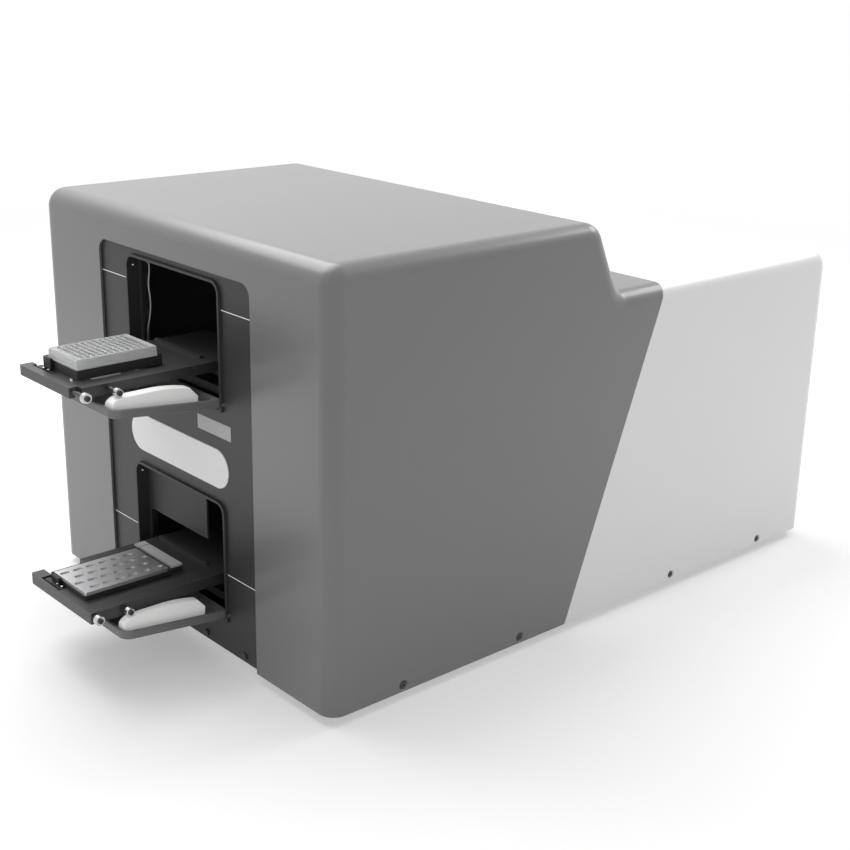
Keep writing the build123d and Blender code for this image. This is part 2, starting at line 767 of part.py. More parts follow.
def on_door(bay, solid):
    """Turn a piece drawn on a level door to the tilt that the open door has, at its pivot."""
    return Pos(0, PIVOT_Y, bay.pivot_z) * Rot(X=-DOOR_TILT) * solid


def door(bay):
    """A shallow tub with a raised rim, round at its hinge edge and bored for the pins."""
    half = BAY_HALF_WIDTH - DOOR_SIDE_GAP
    low, high = -DOOR_HALF_THICK, DOOR_HALF_THICK
    body = level(-half, half, -DOOR_LENGTH, DOOR_TIP_R, DOOR_TIP_R, low, high)
    body -= block(-half, half, 0, 2 * DOOR_TIP_R, low, high)
    body += rod_x(-half, half, 0, 0, DOOR_HALF_THICK)
    under_edges = body.edges().group_by(Axis.Z)[0].filter_by(lambda edge: edge.center().Y < -DOOR_RIM)
    body = fillet(under_edges, DOOR_EDGE_R)
    inner = half - DOOR_RIM
    body -= level(-inner, inner, -DOOR_LENGTH + DOOR_RIM, -DOOR_HINGE_BLOCK, DOOR_TIP_R - DOOR_RIM,
                  low + DOOR_SKIN, high + DOOR_RIM)
    for bore in both_sides(rod_x(half - PIN_REACH, half + DOOR_RIM, 0, 0, PIN_R + PIN_RUN)):
        body -= bore
    return on_door(bay, body)


def cam_path(bay, v):
    """Height of a cam's flat over the door's middle plane: level with the rear rollers' path."""
    tilt = math.radians(DOOR_TILT)
    rise = bay.roller_z - ROLLER_REAR_R - CAM_ROLLER_GAP - bay.pivot_z
    return rise / math.cos(tilt) - v * math.tan(tilt)


def door_cams(bay):
    """The pale cam: a flat that runs level with the rollers' path, a crown and two ramps."""
    foot = DOOR_SKIN - DOOR_HALF_THICK
    flat_in, flat_out = CAM_FLAT_V
    crown_in, crown_mid = CAM_CROWN_V
    inner_end, outer_end = cam_path(bay, flat_in), cam_path(bay, flat_out)
    heel_top = inner_end - CAM_CROWN_RISE + CAM_HEEL_RISE
    heel = Polyline((-CAM_HINGE_V, foot), (-CAM_HINGE_V, inner_end - CAM_HEEL_DROP),
                    (-crown_in, heel_top))
    crown = ThreePointArc((-crown_in, heel_top),
                          (-crown_mid, inner_end + CAM_CROWN_RISE), (-flat_in, inner_end))
    flat = Line((-flat_in, inner_end), (-flat_out, outer_end))
    nose = ThreePointArc((-flat_out, outer_end), (-CAM_NOSE_V, outer_end - CAM_NOSE_DROP),
                         (-CAM_TIP_V, outer_end - CAM_TIP_DROP))
    end = Polyline((-CAM_TIP_V, outer_end - CAM_TIP_DROP), (-CAM_TIP_V, foot), (-CAM_HINGE_V, foot))
    face = make_face(Plane.YZ * (heel + crown + flat + nose + end))
    inner = max(CAM_OUTER_X - CAM_WIDTH, bay.tray_half + CAM_SIDE_GAP)
    cam = Pos(inner, 0, 0) * extrude(face, amount=CAM_OUTER_X - inner)
    for x, radius in ((inner, CAM_INNER_R), (CAM_OUTER_X, CAM_OUTER_R)):
        side = cam.faces().sort_by(lambda part: abs(part.center().X - x))[0]
        cam = fillet(side.edges().filter_by(lambda edge: edge.center().Z > foot + CAM_INNER_R
                                            and edge.center().Y > -CAM_TIP_V), radius)
    return on_door(bay, cam)


# Trays and what rides on them

def clamp_span(bay):
    """Front and rear face of the clamp slide, which stands just clear of the sample plate."""
    rear = bay.holder_front - FIT_GAP
    return rear - CLAMP_DEPTH, rear


def tray(bay):
    """A tray with a wide front bar, an open left front corner, a read window and finger notches."""
    low, high, half = bay.tray_bottom, bay.tray_top, bay.tray_half
    bar_rear = TRAY_FRONT_Y + TRAY_BAR
    backbone_rear = bar_rear + TRAY_RIB
    body = level(-half, half - bay.corner_step, TRAY_FRONT_Y, backbone_rear, TRAY_BAR_R, low, high)
    body -= block(-half, -TRAY_BACKBONE_LEFT, bar_rear, backbone_rear, low, high)
    step_rear = TRAY_FRONT_Y + bay.corner_step + TRAY_BAR_R
    body += block(-TRAY_BACKBONE_LEFT, half, step_rear, TRAY_WIDEN_Y, low, high)
    body += block(-half, half, TRAY_WIDEN_Y, TRAY_REAR_Y, low, high)
    window = TRAY_WINDOW_HALF
    body -= level(-window, window, *TRAY_WINDOW_Y, NEST_R, low - TRAY_RIB, high + TRAY_RIB)
    for notch_y in FINGER_NOTCH_Y:
        body -= level(*FINGER_NOTCH_X, *notch_y, NEST_R, high - FINGER_NOTCH_DEPTH, high + TRAY_RIB)
    clamp_front, clamp_rear = clamp_span(bay)
    pocket_x = (CLAMP_X[0] - CLAMP_SIDE_GAP, CLAMP_X[1] + CLAMP_SIDE_GAP)
    pocket_y = (clamp_front - CLAMP_STROKE - FIT_GAP, max(bar_rear, clamp_rear + FIT_GAP))
    body -= block(*pocket_x, *pocket_y, high - CLAMP_POCKET, high + TRAY_RIB)
    rib_y = (TRAY_RIB_Y, TRAY_RIB_Y + TRAY_RIB)
    body += block(-half + TRAY_RIB, TRAY_RIB_RIGHT, *rib_y, high, high + TRAY_RIB_HEIGHT)
    for y, radius in ROLLERS:
        body -= rod_x(half - STUD_DEPTH, half + STUD_DEPTH, y, axle_z(bay, radius), STUD_R + PIN_SEAT)
    return body


def axle_z(bay, radius):
    """Height of a roller's axle: all rollers run at one level, whatever their size."""
    return bay.roller_z + radius - ROLLER_REAR_R


def rollers(bay, y, radius):
    """A roller that turns on its stud, on the cam's side of the tray."""
    wheel = chamfer(rod_x(*ROLLER_X, y, axle_z(bay, radius), radius).edges(), ROLLER_EDGE)
    bore = (ROLLER_X[0] - ROLLER_EDGE, ROLLER_X[1] + ROLLER_EDGE)
    return wheel - rod_x(*bore, y, axle_z(bay, radius), STUD_R + PIN_RUN)


def tray_fasteners(bay):
    """The rollers' shoulder studs with their socket heads."""
    pieces = []
    shoulder_end, head_x = ROLLER_X[0] - ROLLER_END_GAP, ROLLER_X[1] + ROLLER_END_GAP
    for y, radius in ROLLERS:
        z = axle_z(bay, radius)
        stud = rod_x(bay.tray_half - STUD_DEPTH, head_x, y, z, STUD_R)
        stud += rod_x(bay.tray_half, shoulder_end, y, z, STUD_R + STUD_SHOULDER)
        stud += rod_x(head_x, head_x + STUD_HEAD, y, z, STUD_HEAD_R)
        pieces.append(stud - hex_socket(head_x + STUD_HEAD, y, z, STUD_SOCKET_R, SOCKET_DEPTH))
    return pieces


def nest(bay):
    """The black base that the sample plate stands on, with a lip on its left and behind it."""
    half, front, rear, seat = bay.holder_width / 2, bay.holder_front, bay.holder_rear, bay.seat_z
    lip_top = seat + NEST_LIP
    base = level(-half - NEST_LEFT_STEP, half + NEST_RIGHT, front - NEST_FRONT, rear + NEST_REAR,
                 NEST_R, bay.tray_top, seat)
    lip = level(-half - NEST_LEFT_LIP, half + NEST_RIGHT, front - NEST_FRONT, rear + NEST_LIP_REAR,
                NEST_R, seat, lip_top)
    recess_x = (-half - HOLDER_GAP, half + NEST_RIGHT)
    recess = block(*recess_x, front - NEST_FRONT, rear + HOLDER_GAP, seat, lip_top)
    window = level(-half + NEST_LEDGE, half - NEST_LEDGE, front + NEST_LEDGE, rear - NEST_LEDGE, NEST_R,
                   bay.tray_top, seat)
    gap = block(CLAMP_X[0], CLAMP_X[1] + CLAMP_SIDE_GAP, front - NEST_FRONT, front + NEST_FRONT,
                bay.tray_top, lip_top)
    frame = base + (lip - recess) - window - gap
    if bay is UPPER:
        return frame
    ledge_front = rear + NEST_REAR
    ledge_y = (ledge_front - FIT_GAP, ledge_front + REF_BAR_GAP + REF_BAR_DEPTH)
    return frame + block(*REF_BAR_X, *ledge_y, bay.tray_top, seat + ADAPTER_THICK - REF_BAR_THICK)


def plate_clamp(bay):
    """The sprung slide whose finger pushes the sample plate to its datum corner."""
    front, rear = clamp_span(bay)
    top = bay.tray_top - NEST_FRONT
    slide = block(*CLAMP_X, front, rear, bay.tray_top - CLAMP_POCKET + RAIL_RUN, top)
    finger_x = (CLAMP_X[0] + CLAMP_FINGER_INSET, CLAMP_X[1] - CLAMP_FINGER_INSET)
    finger = block(*finger_x, rear - CLAMP_FINGER, rear, top, bay.seat_z + NEST_LIP)
    return slide + finger


def microplate():
    """A multi-well plate: a skirt, a slightly smaller body and a grid of blind wells."""
    low, high = UPPER.seat_z, UPPER.seat_z + PLATE_HEIGHT
    skirt_top, rim_low = low + PLATE_SKIRT, high - PLATE_STEP

    def layer(inset, z0, z1):
        x, y = PLATE_WIDTH / 2 - inset, PLATE_LENGTH / 2 - inset
        return level(-x, x, UPPER.holder_y - y, UPPER.holder_y + y, PLATE_WALL, z0, z1)

    body = layer(0, low, skirt_top) + layer(PLATE_STEP, skirt_top, rim_low)
    body += layer(2 * PLATE_STEP, rim_low, high)
    body -= layer(PLATE_WALL, low, low + PLATE_STEP)
    wells = GridLocations(WELL_PITCH, WELL_PITCH, WELL_COLUMNS, WELL_ROWS)
    wells = Pos(0, UPPER.holder_y, high - WELL_DEPTH) * wells
    return body - extrude(Sketch() + [place * Circle(WELL_R) for place in wells], amount=WELL_DEPTH)


def adapter_plate():
    """The aluminium holder for tablets: staggered rows of long pockets."""
    half, top = ADAPTER_WIDTH / 2, LOWER.seat_z + ADAPTER_THICK
    body = level(-half, half, LOWER.holder_front, LOWER.holder_rear, TRAY_BAR_R, LOWER.seat_z, top)
    outline = Rot(Z=90) * SlotOverall(POCKET_LENGTH, POCKET_WIDTH)
    pockets = Sketch()
    for column in range(POCKET_COLUMNS):
        x = (column - (POCKET_COLUMNS - 1) / 2) * POCKET_PITCH[0]
        stagger = POCKET_STAGGER if column % 2 else -POCKET_STAGGER
        for row in range(POCKET_ROWS):
            y = LOWER.holder_y + (row - (POCKET_ROWS - 1) / 2) * POCKET_PITCH[1] + stagger
            pockets += Pos(x, y, top - POCKET_DEPTH) * outline
    return body - extrude(pockets, amount=POCKET_DEPTH)


def reference_bar():
    """The pale calibration bar behind the tablet holder, in two lengths with a gap between."""
    front = LOWER.holder_rear + NEST_REAR + REF_BAR_GAP
    top = LOWER.seat_z + ADAPTER_THICK
    span = (front, front + REF_BAR_DEPTH, top - REF_BAR_THICK, top)
    return [block(REF_BAR_X[0], REF_SPLIT_X - REF_BAR_GAP, *span),
            block(REF_SPLIT_X + REF_BAR_GAP, REF_BAR_X[1], *span)]


# Stage

def carriage(bay):
    """The cross plate under a tray, its bearing blocks on the rails and the drive nut."""
    low = bay.tray_bottom - CARRIAGE_PLATE
    block_low = bay.deck_top + BEARING_GAP
    nut = (DRIVE_X - NUT_HALF_WIDTH, DRIVE_X + NUT_HALF_WIDTH)
    body = block(-RAIL_X - BEARING_HALF_WIDTH, nut[1], *CARRIAGE_Y, low, bay.tray_bottom)
    body += block(*nut, *BEARING_Y, block_low, low)
    for x in (-RAIL_X, RAIL_X):
        body += block(x - BEARING_HALF_WIDTH, x + BEARING_HALF_WIDTH, *BEARING_Y, block_low, low)
        groove, groove_top = RAIL_WIDTH / 2 + RAIL_RUN, bay.deck_top + RAIL_HEIGHT + RAIL_RUN
        body -= block(x - groove, x + groove, *CARRIAGE_Y, bay.deck_top, groove_top)
    return body - rod_y(DRIVE_X, *CARRIAGE_Y, bay.drive_z, DRIVE_R + DRIVE_RUN)


def stage_decks():
    """The two level decks; the upper one is slotted for the read head."""
    half = POST_INNER_X - DECK_SIDE_GAP
    upper, lower = [block(-half, half, *DECK_Y, bay.deck_bottom, bay.deck_top) for bay in BAYS]
    upper -= level(-HEAD_SLOT_HALF, HEAD_SLOT_HALF, HEAD_Y - BEAM_HALF_DEPTH, HEAD_Y + BEAM_HALF_DEPTH,
                   HEAD_SLOT_R, UPPER.deck_bottom, UPPER.deck_top)
    return [upper, lower]


def stage_rails():
    """Linear rails, two on each deck."""
    x0, x1 = RAIL_X - RAIL_WIDTH / 2, RAIL_X + RAIL_WIDTH / 2
    y0, y1 = DECK_Y[0] + RAIL_END_GAP, DECK_Y[1] - RAIL_END_GAP
    return [rail for bay in BAYS
            for rail in both_sides(block(x0, x1, y0, y1, bay.deck_top, bay.deck_top + RAIL_HEIGHT))]


def screw_supports():
    """Bearing blocks at the ends of the drive screws, low enough to pass under the carriages."""
    x0, x1 = DRIVE_X - SUPPORT_HALF_WIDTH, DRIVE_X + SUPPORT_HALF_WIDTH
    supports = []
    for bay in BAYS:
        top = bay.tray_bottom - CARRIAGE_PLATE - SUPPORT_GAP
        for y0, y1 in SUPPORT_Y:
            bore = rod_y(DRIVE_X, y0, y1, bay.drive_z, DRIVE_R + DRIVE_RUN)
            supports.append(block(x0, x1, y0, y1, bay.deck_top, top) - bore)
    return supports


def drive_screw(bay):
    """The round screw that moves a carriage."""
    ends = (SUPPORT_Y[0][0] + DRIVE_END_GAP, SUPPORT_Y[1][1] - DRIVE_END_GAP)
    return rod_y(DRIVE_X, *ends, bay.drive_z, DRIVE_R)


def drive_motors():
    """Stepper motors behind the rear bearing blocks."""
    half, front = MOTOR_SIZE / 2, SUPPORT_Y[1][1]
    motors = []
    for bay in BAYS:
        can = block(DRIVE_X - half, DRIVE_X + half, front, front + MOTOR_LENGTH,
                    bay.drive_z - half, bay.drive_z + half)
        motors.append(chamfer(can.edges().filter_by(Axis.Y), MOTOR_EDGE))
    return motors


def stage_tower():
    """Bars bolted end to end: four posts and the side rails that carry decks and beams."""
    half = BAR_SIZE / 2
    bars = []
    for y in POST_Y:
        bars += both_sides(block(POST_INNER_X, POST_X + half, y - half, y + half, BASE_TOP, BULKHEAD_TOP))
    for top in (UPPER.deck_bottom, LOWER.deck_bottom, LOWER_BEAM_LOW + BAR_SIZE):
        low = max(top - BAR_SIZE, BASE_TOP)
        bars += both_sides(block(BEAM_HALF_WIDTH, POST_X, POST_Y[0] + half, POST_Y[1] - half, low, top))
    return bars


def gantry_beams():
    """The cross beams that the two read heads run along."""
    across_bay = (-BEAM_HALF_WIDTH, BEAM_HALF_WIDTH, HEAD_Y - BEAM_HALF_DEPTH, HEAD_Y + BEAM_HALF_DEPTH)
    return [block(*across_bay, UPPER_BEAM_TOP - BAR_SIZE, UPPER_BEAM_TOP),
            block(*across_bay, LOWER_BEAM_LOW, LOWER_BEAM_LOW + LOWER_BEAM_HEIGHT)]


def upper_read_head():
    """The lens head that looks up through the deck slot at the underside of the plate."""
    nose_top = UPPER.deck_top + NOSE_RISE
    body = block(-HEAD_HALF, HEAD_HALF, HEAD_Y - HEAD_HALF, HEAD_Y + HEAD_HALF,
                 UPPER_BEAM_TOP + HEAD_RUN, UPPER.deck_bottom - HEAD_RUN)
    nose = rod_z(0, HEAD_Y, UPPER.deck_bottom - HEAD_RUN, nose_top, NOSE_R)
    return body + nose + rod_z(0, HEAD_Y, nose_top, nose_top + NOSE_TIP, NOSE_R - NOSE_TIP)


def lower_read_head():
    """The lens head that hangs over the tablets in the lower bay."""
    top = LOWER_BEAM_LOW - HEAD_RUN
    body = block(-HEAD_HALF, HEAD_HALF, HEAD_Y - HEAD_HALF, HEAD_Y + HEAD_HALF, top - HEAD_HEIGHT, top)
    return body + rod_z(0, HEAD_Y, top - HEAD_HEIGHT - NOSE_LENGTH, top - HEAD_HEIGHT, NOSE_R)


def lead_points():
    """The lead's route: down from its clip in a loose S, and straight into its gland."""
    gland_top = UPPER.deck_top + GLAND_HEIGHT
    return [Vector(*LEAD_HANG[0][:2], LEAD_TOP), *[Vector(*point) for point in LEAD_HANG],
            Vector(*LEAD_FOOT, gland_top + LEAD_FOOT_RUN), Vector(*LEAD_FOOT, gland_top)]


def sensor_lead():
    """The thin lead that hangs from its clip at the top of the upper bay to the deck."""
    points = lead_points()
    radii = []
    for before, here, after in zip(points, points[1:], points[2:]):
        turn = math.radians((here - before).get_angle(after - here))
        radii.append(0.45 * min((here - before).length, (after - here).length) / math.tan(turn / 2))
    print("lead radii", [round(radius, 1) for radius in radii])
    route = FilletPolyline(*points, radius=radii)
    start = Plane(origin=points[0], z_dir=points[1] - points[0])
    return sweep(start * Circle(LEAD_R), path=route)


def lead_clips():
    """The clip that the lead hangs from and the gland where it passes the deck."""
    x, y = LEAD_HANG[0][:2]
    clip = block(x - CLIP_HALF, x + CLIP_HALF, BULKHEAD_Y + BULKHEAD_THICK, y + CLIP_HALF,
                 LEAD_TOP, LEAD_TOP + CLIP_HEIGHT)
    return [clip, rod_z(*LEAD_FOOT, UPPER.deck_top, UPPER.deck_top + GLAND_HEIGHT, GLAND_R)]


# Optics and electronics in the rear half

def laser_module():
    """The laser: a machined box with a finned lid and a round beam snout."""
    x0, x1 = LASER_LEFT_X, INNER_HALF - OPTICS_SIDE_ROOM
    y0, y1 = OPTICS_FRONT_Y + OPTICS_SNOUT, REAR_INNER_Y - LASER_REAR_ROOM
    top = BASE_TOP + LASER_HEIGHT
    body = block(x0, x1, y0, y1, BASE_TOP, top)
    x = x0 + FIN_MARGIN
    while x + FIN_THICK < x1:
        body += block(x, x + FIN_THICK, y0 + FIN_MARGIN, y1 - FIN_MARGIN, top, top + FIN_HEIGHT)
        x += FIN_PITCH
    return body + rod_y(x0 + LASER_SNOUT_SIDE, OPTICS_FRONT_Y, y0, LASER_SNOUT_Z, LASER_SNOUT_R)


def spectrograph_housing():
    """The spectrograph: a tapered cast housing with a round slit port at its front."""
    left, right = OPTICS_SIDE_ROOM - INNER_HALF, SPECTRO_RIGHT_X
    front, back = OPTICS_FRONT_Y + OPTICS_SNOUT, REAR_INNER_Y - SPECTRO_REAR_ROOM
    flat = left + SPECTRO_FLAT
    outline = Polyline((left, front), (flat, front), (right, front + SPECTRO_TAPER),
                       (right, back - SPECTRO_TAPER), (flat, back), (left, back), close=True)
    body = extrude(Pos(0, 0, BASE_TOP) * make_face(outline), amount=SPECTRO_HEIGHT)
    body = chamfer(body.faces().sort_by(Axis.Z)[-1].edges(), SPECTRO_EDGE)
    return body + rod_y(left + DETECTOR_SIDE, OPTICS_FRONT_Y, front, DETECTOR_Z, SLIT_PORT_R)


def detector_camera():
    """The cooled detector, flanged to the rear of the spectrograph."""
    x, half = OPTICS_SIDE_ROOM - INNER_HALF + DETECTOR_SIDE, DETECTOR_SIZE / 2
    front = REAR_INNER_Y - SPECTRO_REAR_ROOM
    body_front = front + DETECTOR_NECK
    z_span = (DETECTOR_Z - half, DETECTOR_Z + half)
    body = block(x - half, x + half, body_front, body_front + DETECTOR_LENGTH, *z_span)
    body = chamfer(body.edges().filter_by(Axis.Y), MOTOR_EDGE)
    return body + rod_y(x, front, body_front, DETECTOR_Z, DETECTOR_NECK_R)


def power_supply():
    """A boxed power supply with a slotted lid."""
    width, length, height = SUPPLY_SIZE
    x1 = BOARD_RIGHT_X - BOARD_SIZE[0] - SUPPLY_SIDE_GAP
    y1 = REAR_INNER_Y - SUPPLY_REAR_ROOM
    x0, y0, top = x1 - width, y1 - length, BASE_TOP + height
    body = block(x0, x1, y0, y1, BASE_TOP, top)
    x = x0 + VENT_MARGIN
    while x + VENT_WIDTH < x1:
        body -= block(x, x + VENT_WIDTH, y0 + VENT_MARGIN, y1 - VENT_MARGIN, top - VENT_DEPTH, top)
        x += VENT_PITCH
    return body


def control_board():
    """The control board on four posts, with two chips and a long header."""
    width, length, thick = BOARD_SIZE
    x1, y1 = BOARD_RIGHT_X, REAR_INNER_Y - BOARD_SIDE_ROOM
    x0, y0, z = x1 - width, y1 - length, BASE_TOP + BOARD_RISE
    top = z + thick
    body = block(x0, x1, y0, y1, z, top)
    for x in (x0 + BOARD_POST_INSET, x1 - BOARD_POST_INSET):
        for y in (y0 + BOARD_POST_INSET, y1 - BOARD_POST_INSET):
            body += rod_z(x, y, BASE_TOP, z, BOARD_POST_R)
    middle = (x0 + x1) / 2
    for x, y in ((x0 + width / 4, y0 + length / 4), (x1 - width / 4, y0 + length / 2)):
        body += Pos(x, y, top + CHIP_SIZE[2] / 2) * Box(*CHIP_SIZE)
    return body + Pos(middle, y1 - 2 * BOARD_POST_INSET, top + HEADER_SIZE[2] / 2) * Box(*HEADER_SIZE)


# Rear wall

def rear_io_panel():
    """The plate behind the rear cover's opening that carries inlet, switch and ports."""
    y0, y1 = REAR_INNER_Y - IO_PLATE, REAR_INNER_Y
    cut = (1.0, y0 - IO_PLATE, y1 + IO_PLATE, IO_GAP)
    plate = across(IO_X[0] - IO_LAP, IO_X[1] + IO_LAP, IO_Z[0] - IO_LAP, IO_Z[1] + IO_LAP, IO_R, y0, y1)
    plate -= socket_plate(INLET_X, INLET_BODY, *cut)
    plate -= socket_plate(SWITCH_X, SWITCH_BODY, *cut)
    for x in PORT_X:
        plate -= socket_plate(x, PORT_SHELL, *cut)
    return plate


def power_inlet():
    """The mains inlet: a flanged socket with three flat pins."""
    y = REAR_INNER_Y
    shell = socket_plate(INLET_X, INLET_FLANGE, 3.0, y, y + INLET_FLANGE_THICK)
    shell += socket_plate(INLET_X, INLET_BODY, 2.0, y - INLET_DEPTH, y)
    shell -= socket_plate(INLET_X, INLET_CAVITY, 2.0, y - INLET_CAVITY_DEPTH, y + INLET_FLANGE_THICK)
    half_width, half_height = INLET_PIN[0] / 2, INLET_PIN[1] / 2
    for x, z in INLET_PIN_PLACES:
        shell += block(INLET_X + x - half_width, INLET_X + x + half_width, y - INLET_CAVITY_DEPTH,
                       y - INLET_FLANGE_THICK, SOCKET_Z + z - half_height, SOCKET_Z + z + half_height)
    return shell


def power_rocker():
    """The rocker of the mains switch, dished and tipped to one side about its pin."""
    half, dip = ROCKER_HALF_HEIGHT, ROCKER_FACE - ROCKER_DIP
    shoulder = ROCKER_FACE / 2
    outline = Polyline((-ROCKER_BACK, -ROCKER_FACE), (shoulder, -half), (ROCKER_FACE, -half), (dip, 0),
                       (ROCKER_FACE, half), (shoulder, half), (-ROCKER_BACK, ROCKER_FACE), close=True)
    cap = extrude(make_face(Plane.YZ * outline), amount=ROCKER_HALF_WIDTH, both=True)
    cap -= rod_x(-ROCKER_HALF_WIDTH, ROCKER_HALF_WIDTH, 0, 0, ROCKER_PIN_R + PIN_RUN)
    return Pos(SWITCH_X, REAR_INNER_Y - ROCKER_PIN_DEPTH, SOCKET_Z) * Rot(X=ROCKER_TIP) * cap


def switch_frame():
    """The bezel of the mains switch and the pin its rocker turns on."""
    y = REAR_INNER_Y
    frame = socket_plate(SWITCH_X, SWITCH_BEZEL, 2.0, y, y + SWITCH_BEZEL_THICK)
    frame += socket_plate(SWITCH_X, SWITCH_BODY, 1.0, y - SWITCH_DEPTH, y)
    frame -= socket_plate(SWITCH_X, SWITCH_CAVITY, 1.0, y - SWITCH_CAVITY_DEPTH, y + SWITCH_BEZEL_THICK)
    half = SWITCH_CAVITY[0] / 2
    return frame + rod_x(SWITCH_X - half, SWITCH_X + half, y - ROCKER_PIN_DEPTH, SOCKET_Z, ROCKER_PIN_R)


def data_ports():
    """Three square data sockets."""
    y = REAR_INNER_Y
    ports = []
    for x in PORT_X:
        shell = socket_plate(x, PORT_SHELL, 1.0, y - PORT_DEPTH, y + PORT_PROUD)
        ports.append(shell - socket_plate(x, PORT_CAVITY, 0.5, y - PORT_CAVITY_DEPTH, y + PORT_PROUD))
    return ports


def fan_arms(x, y, radius, width, thick):
    """Two crossed bars on the diagonals of a fan."""
    bar = Box(2 * radius, thick, width)
    return [Pos(x, y, FAN_Z) * Rot(Y=angle) * bar for angle in (45, 135)]


def fan_frames():
    """Two square fan frames against the rear wall, each with a spider and a stub shaft."""
    half, back = FAN_SIZE / 2, REAR_INNER_Y
    front = back - FAN_THICK
    hub_back = front + FAN_HUB_BACK
    frames = []
    for x in (-FAN_X, FAN_X):
        frame = across(x - half, x + half, FAN_Z - half, FAN_Z + half, FAN_CORNER_R, front, back)
        frame -= rod_y(x, front, back, FAN_Z, FAN_BORE_R)
        for arm in fan_arms(x, front + FAN_HUB_BACK / 2, FAN_BORE_R + 1, FAN_ARM, FAN_HUB_BACK):
            frame += arm
        frame += rod_y(x, front, hub_back, FAN_Z, FAN_HUB_R)
        frames.append(frame + rod_y(x, hub_back, back - FAN_SHAFT_END, FAN_Z, FAN_SHAFT_R))
    return frames


def fan_rotor(x):
    """A fan rotor: a cup hub on the frame's stub shaft and a ring of pitched blades."""
    y0 = REAR_INNER_Y - FAN_THICK + FAN_HUB_BACK + ROTOR_FRONT_GAP
    y1 = REAR_INNER_Y - ROTOR_REAR_GAP
    tip = FAN_BORE_R - BLADE_TIP_GAP
    blade = Rot(X=BLADE_PITCH) * Box(tip - FAN_HUB_R + 1, BLADE_THICK, BLADE_CHORD)
    blade = Pos((tip + FAN_HUB_R - 1) / 2, 0, 0) * blade
    rotor = rod_y(x, y0, y1, FAN_Z, FAN_HUB_R)
    for index in range(FAN_BLADES):
        rotor += Pos(x, (y0 + y1) / 2, FAN_Z) * Rot(Y=360 / FAN_BLADES * index) * blade
    shaft_end = REAR_INNER_Y - FAN_SHAFT_END + ROTOR_FRONT_GAP
    return rotor - rod_y(x, y0, shaft_end, FAN_Z, FAN_SHAFT_R + FAN_RUN)


def fan_grilles():
    """Finger guards outside the rear wall: rings on a cross of bars."""
    y0, y1 = COVER_LENGTH, COVER_LENGTH + GRILLE_THICK
    half_wire = GRILLE_WIRE / 2
    guards = []
    for x in (-FAN_X, FAN_X):
        guard = rod_y(x, y0, y1, FAN_Z, FAN_BORE_R + GRILLE_WIRE) - rod_y(x, y0, y1, FAN_Z, FAN_BORE_R)
        for radius in GRILLE_RINGS:
            guard += rod_y(x, y0, y1, FAN_Z, radius + half_wire) - rod_y(x, y0, y1, FAN_Z, radius - half_wire)
        for arm in fan_arms(x, (y0 + y1) / 2, FAN_BORE_R + 1, GRILLE_WIRE, GRILLE_THICK):
            guard += arm
        guards.append(guard)
    return guards


def nodes():
    """Every node's name with its solid, or its group of separate solids."""
    made = {
        "base_plate": base_plate(), "rubber_feet": rubber_feet(),
        "front_cover": front_cover(), "rear_cover": rear_cover(), "cover_screws": cover_screws(),
        "front_panel": front_panel(), "panel_screws": panel_screws(), "light_bar": light_bar(),
        "bay_collars": bay_collars(), "bay_bulkhead": bay_bulkhead(),
        "door_catches": door_catches(), "door_pins": door_pins(),
        "stage_tower": stage_tower(), "stage_decks": stage_decks(), "stage_rails": stage_rails(),
        "screw_supports": screw_supports(), "drive_motors": drive_motors(),
        "gantry_beams": gantry_beams(),
        "upper_read_head": upper_read_head(), "lower_read_head": lower_read_head(),
        "sensor_lead": sensor_lead(), "lead_clips": lead_clips(),
        "microplate": microplate(), "adapter_plate": adapter_plate(), "reference_bar": reference_bar(),
        "laser_module": laser_module(), "spectrograph_housing": spectrograph_housing(),
        "detector_camera": detector_camera(), "power_supply": power_supply(),
        "control_board": control_board(), "rear_io_panel": rear_io_panel(),
        "power_inlet": power_inlet(), "switch_frame": switch_frame(), "power_rocker": power_rocker(),
        "data_ports": data_ports(), "fan_frames": fan_frames(), "fan_grilles": fan_grilles(),
        "fan_rotor_left": fan_rotor(-FAN_X), "fan_rotor_right": fan_rotor(FAN_X),
    }
    for bay in BAYS:
        made[f"{bay.name}_door"] = door(bay)
        made[f"{bay.name}_door_cams"] = door_cams(bay)
        made[f"{bay.name}_tray"] = tray(bay)
        made[f"{bay.name}_nest"] = nest(bay)
        made[f"{bay.name}_plate_clamp"] = plate_clamp(bay)
        made[f"{bay.name}_carriage"] = carriage(bay)
        made[f"{bay.name}_tray_fasteners"] = tray_fasteners(bay)
        made[f"{bay.name}_drive_screw"] = drive_screw(bay)
        made[f"{bay.name}_front_rollers"] = rollers(bay, *ROLLERS[0])
        made[f"{bay.name}_rear_rollers"] = rollers(bay, *ROLLERS[1])
    return made


os.makedirs("parts", exist_ok=True)
place = Pos(0, FRONT_Y, FOOT_CLEARANCE)
for name, made in nodes().items():
    solids = made if isinstance(made, list) else [made]
    moved = [solid for piece in solids for solid in (place * piece).solids()]
    export_step(moved[0] if len(moved) == 1 else Compound(children=moved), f"parts/{name}.step")
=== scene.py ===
"""Looks of a bench Raman plate reader with two sample bays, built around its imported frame."""

import json
import logging
import math
from collections.abc import Callable
from dataclasses import dataclass
from enum import Enum

import bmesh
import bpy
from mathutils import Matrix, Vector

